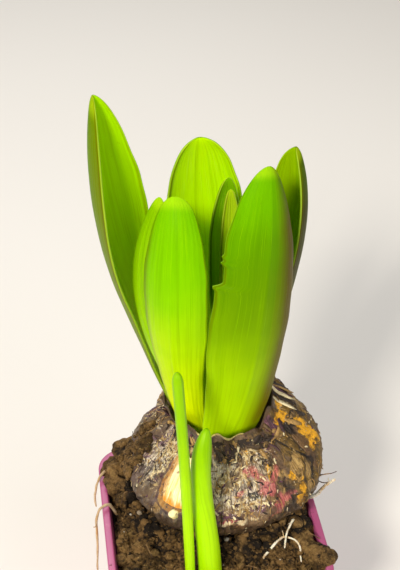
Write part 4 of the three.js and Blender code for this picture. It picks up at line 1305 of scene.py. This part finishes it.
# %% Lumps
def ball(level):
    """An icosahedron's directions and triangles, each triangle cut into four "level" times."""
    g = (1 + 5**0.5) / 2  # the golden ratio
    corners = [
        (-1, g, 0), (1, g, 0), (-1, -g, 0), (1, -g, 0), (0, -1, g), (0, 1, g),
        (0, -1, -g), (0, 1, -g), (g, 0, -1), (g, 0, 1), (-g, 0, -1), (-g, 0, 1),
    ]
    triangles = [
        (0, 11, 5), (0, 5, 1), (0, 1, 7), (0, 7, 10), (0, 10, 11), (1, 5, 9), (5, 11, 4), (11, 10, 2),
        (10, 7, 6), (7, 1, 8), (3, 9, 4), (3, 4, 2), (3, 2, 6), (3, 6, 8), (3, 8, 9), (4, 9, 5),
        (2, 4, 11), (6, 2, 10), (8, 6, 7), (9, 8, 1),
    ]
    points, faces = unit(np.array(corners)), np.array(triangles)
    for _ in range(level):
        pairs = np.sort(faces[:, [0, 1, 1, 2, 2, 0]].reshape(-1, 2), axis=1)
        edges, index = np.unique(pairs, axis=0, return_inverse=True)
        middle = index.reshape(-1, 3) + len(points)
        points = np.concatenate([points, unit(points[edges[:, 0]] + points[edges[:, 1]])])
        a, b, c = faces.T
        ab, bc, ca = middle.T
        quarters = [(a, ab, ca), (b, bc, ab), (c, ca, bc), (ab, bc, ca)]
        faces = np.concatenate([np.stack(quarter, axis=1) for quarter in quarters])
    return points, faces


def lumps(places, sizes, level, tint=0, flat=0.75, rough=0.5, seed=0):
    """One lump for each place: a ball whose radius is changed by noise in a way of its own."""
    directions, faces = ball(level)
    places, sizes = np.asarray(places, float)[:, None], np.asarray(sizes, float)[:, None]
    own = directions[None] + 7.3 * np.arange(len(places))[:, None, None]
    swell = fractal(own, 0.9, 3 if level > 1 else 1, seed) - 0.5
    radius = sizes * (1 + rough * 2 * swell)
    points = places + directions[None] * radius[..., None] * (1, 1, flat)
    if level > 2:
        height, crest = crumble(points)
        # the bulb's painted shadow lowers the crest of clods beside it, which darkens them
        crest = crest - 0.6 * bulb_shadow(points)
        points = points + directions[None] * 0.35 * height[..., None]
    else:
        crest = 0.45 + 0.9 * swell
    count = len(directions)
    every = faces[None] + count * np.arange(len(places))[:, None, None]
    tint = np.broadcast_to(np.reshape(tint, (-1, 1)), swell.shape)
    return Part(points, [every.reshape(-1, 3)], crest=np.clip(crest, 0, 1), tint=tint)


print("balls of levels 0 to 4 have", [len(ball(level)[1]) for level in range(5)], "triangles")

# %% Where clods and crumbs lie
# the large clods: x, y, z and radius
CLODS = np.array([
    (-29, 19.5, 62.5, 5.5), (-27.5, 26, 63, 5), (-26, 12.5, 61.5, 4.5), (-24, 28, 65, 5),
    (-18, 30.5, 65, 4.5), (32, -20.5, 62.3, 5.2), (27, -14, 63, 5), (29, -8, 62, 4.5),
])

# clods heaped at the foot of the bulb on the left
HEAP = np.array([
    (-27, 23.5, 67, 4), (-28.6, 24, 64, 4.5), (-29.8, 17, 64.5, 3.4), (-26.8, 15.5, 64.5, 3.6),
    (-30.5, 25, 65.5, 2.6), (-24.6, 11.5, 64, 3), (-25.5, 28, 69, 4), (-28, 11, 63.5, 2.8),
    (-30, 21, 67, 2.2), (-22.6, 28, 73, 2.6), (-25, 20, 69, 2.4), (-23.8, 17.5, 72, 1.8),
    (-22.6, 22, 77, 1.8),
])


def clinging(count, seed):
    """Crumbs that cling to the back of the bulb's left shoulder, sunk into the skin by a third."""
    rng = np.random.default_rng(seed)
    angle, v = radians(rng.uniform(164, 190, count)), rng.uniform(0.58, 0.81, count)
    size = mix(0.3, 1.7, rng.random(count) ** 1.5)
    return skin_point(angle, v, 0.35 * size), size, rng.random(count)


def draw(seed):
    """A number from 0 to 1 that always comes out the same for the same seed."""
    return np.mod(np.sin(seed * 127.1 + 11.7) * 43758.5453, 1)


def loose_clods():
    """Twenty small clods strewn clear of the bulb: the first twenty of many draws that fall there."""
    seed = np.arange(60)
    x, y = mix(-30, 30, draw(seed)), mix(-30, 30, draw(seed + 0.37))
    kept = np.flatnonzero(np.hypot(x - BULB_X, y - BULB_Y) >= 26)[:20]
    x, y, size = x[kept], y[kept], mix(1.8, 3.6, draw(seed[kept] + 0.71))
    return np.stack([x, y, soil_height(x, y) - 0.2 * size, size], axis=-1)


def strewn(count, least, most, seed):
    """Crumbs scattered over the surface: many small, few large."""
    rng = np.random.default_rng(seed)
    x, y = rng.uniform(-31, 31, (2, count))
    size = mix(least, most, rng.random(count) ** 3)
    plain = np.stack([x, y, soil_height(x, y)], axis=-1)
    plain[:, 2] += crumble(plain)[0] + 0.35 * size - 0.6
    return plain, size, rng.random(count)


print("the first loose clod is at x, y, z, radius", loose_clods()[0].round(1))

# %% The soil's finish
def soil_finish():
    """Dark peaty brown, with painted light on the tops of the crumbs and painted shade, near black, in the
    creases and in the bulb's shadow.
    """
    soil = Finish("soil")
    place = soil.place()
    patch = soil.noise(place, 110.0, 4.0, 0.65)
    grain = soil.noise(place, 900.0, 5.0, 0.75)
    fine = soil.noise(place, 2600.0, 2.0, 0.6)
    crest = soil.measure("crest") + (grain - 0.5) * 0.7
    speck = fine + (grain - 0.5) * 0.6
    brown = soil.coats(
        soil.coat("#443010", "#86663a", patch + (grain - 0.5) * 0.5, 0.36, 0.64),
        # painted light on the tops of the crumbs
        ("#ae8c54", crest, 0.6, 0.95, 0.65),
        # painted shade, near black, in the creases and in the bulb's shadow
        ("#120a04", crest, 0.5, 0.2, 0.95),
        ("#c8a870", speck, 0.66, 0.74, 0.6),
        ("#120a04", speck, 0.38, 0.3, 0.6),
        ("#d9cfba", soil.measure("tint"), 0.975, 0.98),
    )
    return soil.surface(
        Base_Color=brown,
        Roughness=0.8,
        Specular_IOR_Level=0.3,
        Normal=soil.relief(grain + fine * 0.4, 0.001, 1.0),
    )


SOIL = soil_finish()
piece("soil_surface", [soil_surface()], SOIL, "soil", "soil")
loose = loose_clods()
clods = [
    lumps(CLODS[:, :3], CLODS[:, 3] * 0.92, 4, seed=5),
    lumps(HEAP[:, :3], HEAP[:, 3], 3, flat=0.9, rough=0.7, seed=15),
    lumps(loose[:, :3], loose[:, 3] * 0.9, 3, seed=6),
]
piece("soil_clods", clods, SOIL, "soil")
cling, few, many = clinging(130, 19), strewn(420, 0.7, 2.3, 1), strewn(3200, 0.25, 0.95, 2)
crumbs = [
    lumps(cling[0], cling[1], 2, cling[2] * 0.9, flat=1, rough=0.7, seed=9),
    lumps(few[0], few[1], 1, few[2] * 0.96, seed=7),
    lumps(many[0], many[1], 0, many[2], seed=8),
]
piece("soil_crumbs", crumbs, SOIL, "soil")


# %% [markdown]
# ## The pot
#
# The pot is injection-moulded plastic: a tapered square with round corners, a band round the rim that
# stiffens it, and a hole towards each corner of the floor. A profile of half widths and heights is
# carried round as square rings, with every edge rounded as a mould would leave it. The holes are cut
# with a Boolean, as a drill would cut them.

# %% The pot's profile
def fillet(start, corner, end, radius, steps=5):
    """Points round a profile's corner: a quadratic curve from "radius" before it to "radius" after it."""
    start, corner, end = (np.array(p, float) for p in (start, corner, end))
    before, after = corner + radius * unit(start - corner), corner + radius * unit(end - corner)
    t = np.linspace(0, 1, steps)[:, None]
    return (1 - t) ** 2 * before + 2 * t * (1 - t) * corner + t**2 * after


def pot_profile():
    """(half width, height) from under the foot up the outside, over the rim and down to the floor."""
    rim, top, foot = POT["rim"] / 2, POT["height"], POT["height"] - POT["band"]
    inner = rim - POT["step"] - POT["wall"]
    # each corner with the radius it is rounded by
    corners, radii = zip(
        ((wall_half(0) - 6, 0), 0), ((wall_half(0), 0), 1.2), ((wall_half(foot), foot), 0.5),
        ((rim, foot + 0.8), 0.5), ((rim, top), 0.55), ((inner + 0.3, top), 0.5),
        ((wall_half(POT["floor"]) - POT["wall"], POT["floor"]), 1.5), ((12, POT["floor"]), 0),
    )
    rounds = [fillet(a, b, c, r) for a, b, c, r in zip(corners, corners[1:], corners[2:], radii[1:])]
    return np.concatenate([corners[:1], *rounds, corners[-1:]])


print("the profile has", len(pot_profile()), "points")

# %% The shell and its holes
def pot_shell():
    """Square rings along the profile; the corner's radius shrinks with the width on the way in."""
    rings = []
    for half, z in pot_profile():
        inwards = max(wall_half(z) - half, 0)
        rings.append(square_ring(half, max(wall_corner(z) - 0.9 * inwards, 2.5), z, 14, 10))
    grid = np.stack(rings)
    around = ring(grid.shape[1])[None, :] / (2 * np.pi)
    return tube_part(grid, uv=(around, grid[..., 2] / POT["height"]))


def cut_holes(pot, radius=3, offset=13, below=4, above=6):
    """Cuts the drain holes through the floor with one Boolean against four cylinders."""
    a = ring(32)
    circle = np.stack([radius * np.cos(a), radius * np.sin(a), 0 * a], axis=-1)
    parts = []
    for x, y in ((1, 1), (-1, 1), (-1, -1), (1, -1)):
        middle = circle + (offset * x, offset * y, 0)
        parts.append(tube_part(np.stack([middle - (0, 0, below), middle + (0, 0, above)])))
    drill = piece("drill", parts, pot.data.materials[0], "pot_plastic")
    cut = pot.modifiers.new("holes", "BOOLEAN")
    cut.object = drill
    cut.solver = "EXACT"
    done = bpy.data.meshes.new_from_object(pot.evaluated_get(bpy.context.evaluated_depsgraph_get()))
    pot.modifiers.clear()
    pot.data = done
    bpy.data.objects.remove(drill)
    print("the pot has", len(done.polygons), "faces after the holes are cut")


# %% Plastic
def plastic_finish():
    """Pink-purple plastic, semi-gloss, faintly brushed by use, with specks of soil."""
    plastic = Finish("pot_plastic")
    place = plastic.place()
    cloud = plastic.noise(place, 40.0, 2.0)
    fine = plastic.noise(place, 900.0, 3.0, 0.6)
    scuffs = plastic.noise(plastic.stretch(place, 1.0, 1.0, 8.0), 160.0, 3.0, 0.6)
    colour = plastic.coat(plastic.mixed("#a74a79", "#b65b86", cloud), "#e3a0b8", scuffs, 0.62, 0.75, 0.3)
    dirt = plastic.between(fine + cloud * 0.35, 0.86, 0.96)
    colour = plastic.mixed(colour, "#4a3424", dirt * 0.8)
    return plastic.surface(
        Base_Color=colour,
        Roughness=0.36 + 0.4 * dirt,
        Subsurface_Weight=0.08,
        Subsurface_Radius=(1.0, 0.5, 0.8),
        Subsurface_Scale=0.001,
        Normal=plastic.relief(scuffs + dirt, 0.00008, 0.5),
    )


POT_PLASTIC = plastic_finish()
cut_holes(piece("pot_shell", [pot_shell()], POT_PLASTIC, "pot_plastic", "pot"))


# %% [markdown]
# ## Roots
#
# A few of the bulb's fleshy white roots have come up out of the soil and over the rim. Each one tapers,
# wanders a little and has joints where it swells, and some send out a short side root or two.

# %% The roots' routes
# sides: where along the root each side root leaves it, and how long that is
THIN = 0.22
ROOTS = {
    "root_right": dict(
        route=[(27, 2, 57), (31, 1.5, 64.5), (35.5, 1.5, 66.6), (39, 4, 67.5), (43, 6, 68)],
        radius=0.8, sides=[(0.72, 2.2), (0.86, 1.6)]),
    "root_front": dict(
        route=[(27, -7, 57), (26.8, -7.4, 64), (25.2, -9.5, 67.6), (22.4, -14, 67.4), (20.4, -19.5, 66.6)],
        radius=0.5, sides=[(0.45, 2.5)]),
    "root_loop": dict(
        route=[(13, -18, 58), (16.5, -17.5, 65), (21.5, -14.3, 66), (25.5, -17.5, 65.4), (26, -21, 58)],
        radius=0.45, sides=[(0.5, 2)]),
    "root_left_hook": dict(
        route=[(-30, 26, 58), (-32.6, 23, 65.5), (-35.2, 20, 65.6), (-37, 17.5, 61), (-36.9, 15, 57)],
        radius=0.55, sides=[]),
    "root_left_hanging": dict(
        route=[(-30, 9, 58), (-33, 8, 65.4), (-36.2, 6, 65), (-37.6, 1, 56), (-38.3, -2, 44)],
        radius=0.55, sides=[(0.6, 2.4)]),
    "root_small": dict(
        route=[(-22.5, 27, 60), (-22.3, 25, 68.5), (-22.6, 21, 69.5), (-23.6, 18.5, 62)],
        radius=0.6, sides=[]),
}
print("the roots have", sum(len(item["sides"]) for item in ROOTS.values()), "side roots")

# %% Roots and side roots
def root_radius(radius, seed):
    """Falls by 45 % to the tip, with swellings at uneven joints, and closes at the very end."""
    def at(t, turn):
        """The radius at t along the root and a turn round it."""
        joints = 0.16 * np.sin(19 * t + seed) * np.sin(31 * t + 2 * seed) + 0.06 * np.sin(3 * turn + 40 * t)
        closing = np.sqrt(1 - np.clip((t - 0.96) / 0.04, 0, 1) ** 2 * 0.98)
        return radius * (1 - 0.45 * t) * (1 + joints) * closing

    return at


def side_root(route, start, length, seed):
    """A short thin root that leaves its parent at a share of the way, curving out and up."""
    rng = np.random.default_rng(seed)
    foot = curve_through(route, np.array([start]))[0]
    way = unit(rng.normal(size=3) * (1, 1, 0.5) + (0, 0, 0.4)) * length
    bend = rng.normal(size=3) * length * 0.25
    points = [foot, foot + 0.35 * way + bend * 0.4, foot + 0.7 * way + bend, foot + way + bend * 0.6]
    return stem_part(points, root_radius(THIN, seed), rows=14, sides=7, wander=0.3, seed=seed)


def root_finish():
    """Cream white, browner in patches where it has dried, a little translucent."""
    root = Finish("root")
    place = root.place()
    patch = root.noise(place, 220.0, 3.0, 0.6)
    fine = root.noise(place, 1500.0, 2.0)
    colour = root.coats(
        root.coat("#c9a878", "#f4ead2", patch, 0.36, 0.58),
        ("#8a6238", fine + patch * 0.4, 0.82, 0.9, 0.7),
        ("#a88454", root.split(place, 0) * -1, 0.018, 0.03, 0.7),
    )
    return root.surface(
        Base_Color=colour,
        Roughness=0.55,
        Subsurface_Weight=0.2,
        Subsurface_Radius=(1.0, 0.7, 0.4),
        Subsurface_Scale=0.0008,
        Normal=root.relief(fine, 0.0001, 0.5),
    )


ROOT = root_finish()
for seed, (name, item) in enumerate(ROOTS.items()):
    route, radius = item["route"], root_radius(item["radius"], seed)
    parts = [stem_part(route, radius, rows=110, sides=14, wander=0.7, seed=seed)]
    for k, (start, length) in enumerate(item["sides"]):
        parts.append(side_root(route, start, length, 10 * seed + k))
    piece(name + "_strand", parts, ROOT, SLOTS[name], name)


# %% [markdown]
# ### Root hairs
#
# Thin dark hairs, dead roots of last year, stick out of the bulb and the soil. They are too fine for
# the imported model, so they are only here: each is a thin stem with its own wander.

# %% Hairs
HAIRS = [
    [(35, 2, 75), (38.5, 1, 76.2), (42.2, 2.5, 75.6)],
    [(35, 5, 70), (38.5, 4, 69.2), (40.5, 6, 67)],
    [(-24, 8, 70), (-27.5, 6, 72), (-29, 4, 69)],
    [(28, -12, 63), (30, -15, 66.5), (33, -16, 65.2)],
    [(6, -21.5, 63), (9, -24, 65.6), (13, -24.5, 63.4)],
    [(-20, -8, 62), (-22, -11, 65.5), (-21, -15, 63.6)],
    [(14, 38, 72), (16.5, 41.6, 70.8), (18.6, 42.4, 68)],
]


def hair_finish():
    """Dark brown, paler in places."""
    hair = Finish("root_hairs")
    spots = hair.noise(hair.place(), 500.0, 2.0)
    colour = hair.coat("#3a2412", "#8a6a40", spots, 0.45, 0.65)
    return hair.surface(Base_Color=colour, Roughness=0.7)


hairs = []
for k, route in enumerate(HAIRS):
    hairs.append(stem_part(route, root_radius(THIN, k), rows=40, sides=8, wander=0.8, seed=40 + k))
piece("root_hairs", hairs, hair_finish(), "root")


# %% [markdown]
# ## Floor, light and camera
#
# The floor is plain and pale. The light is a small warm lamp high on the left in front, which draws clear
# shadows, a wide weak one on the right, one behind and an even sky. The camera looks down from the
# front, from less than half a metre, so the leaves splay a little with perspective.

# %% Floor, lamps and camera
def lamp(name, place, aim, size, watts, colour=(1, 1, 1)):
    """A square soft lamp at a place, turned to look at a point; both in metres."""
    light = bpy.data.lights.new(name, "AREA")
    light.size = size
    light.energy = watts
    light.color = colour
    made = bpy.data.objects.new(name, light)
    made.location = place
    made.rotation_euler = (Vector(aim) - Vector(place)).to_track_quat("-Z", "Y").to_euler()
    bpy.context.scene.collection.objects.link(made)


FLOOR_HALF, FLOOR_DROP = 3, 0.0005
corners = [(x * FLOOR_HALF, y * FLOOR_HALF, -FLOOR_DROP) for x, y in ((-1, -1), (1, -1), (1, 1), (-1, 1))]
floor_mesh = bpy.data.meshes.new("floor")
floor_mesh.from_pydata(corners, [], [(0, 1, 2, 3)])
pale = Finish("floor_pale")
cream = pale.mixed("#e6e2dc", "#eae7e2", pale.noise(pale.place(), 3.0, 1.0))
floor_mesh.materials.append(pale.surface(Base_Color=cream, Roughness=0.8))
floor = bpy.data.objects.new("floor", floor_mesh)
bpy.context.scene.collection.objects.link(floor)

BULB_MIDDLE = (0, 0, 0.11)
LEAF_MIDDLE = (0, 0, 0.15)
lamp("key", (-0.39, -0.57, 0.7), BULB_MIDDLE, 0.16, 8.5, (1, 0.94, 0.84))
lamp("fill", (0.5, -0.5, 0.55), BULB_MIDDLE, 0.6, 2.2)
lamp("behind", (-0.15, 0.5, 0.7), LEAF_MIDDLE, 0.5, 3)
world = bpy.data.worlds.new("sky")
world.use_nodes = True
sky = world.node_tree.nodes["Background"].inputs
sky["Color"].default_value = (1, 0.97, 0.92, 1)
sky["Strength"].default_value = 0.3
bpy.context.scene.world = world
bpy.context.scene.view_settings.view_transform = "Standard"

LOOK_DOWN, TURN_RIGHT = 36.5, 8.2
lens = bpy.data.cameras.new("camera")
lens.lens = 72
lens.sensor_width = 36
camera = bpy.data.objects.new("camera", lens)
camera.location = (-0.040, -0.2527, 0.347)
camera.rotation_euler = (radians(90 - LOOK_DOWN), 0, radians(-TURN_RIGHT))
bpy.context.scene.collection.objects.link(camera)
bpy.context.scene.camera = camera
print("the camera is", round(Vector(camera.location).length, 3), "m from the pot's foot")
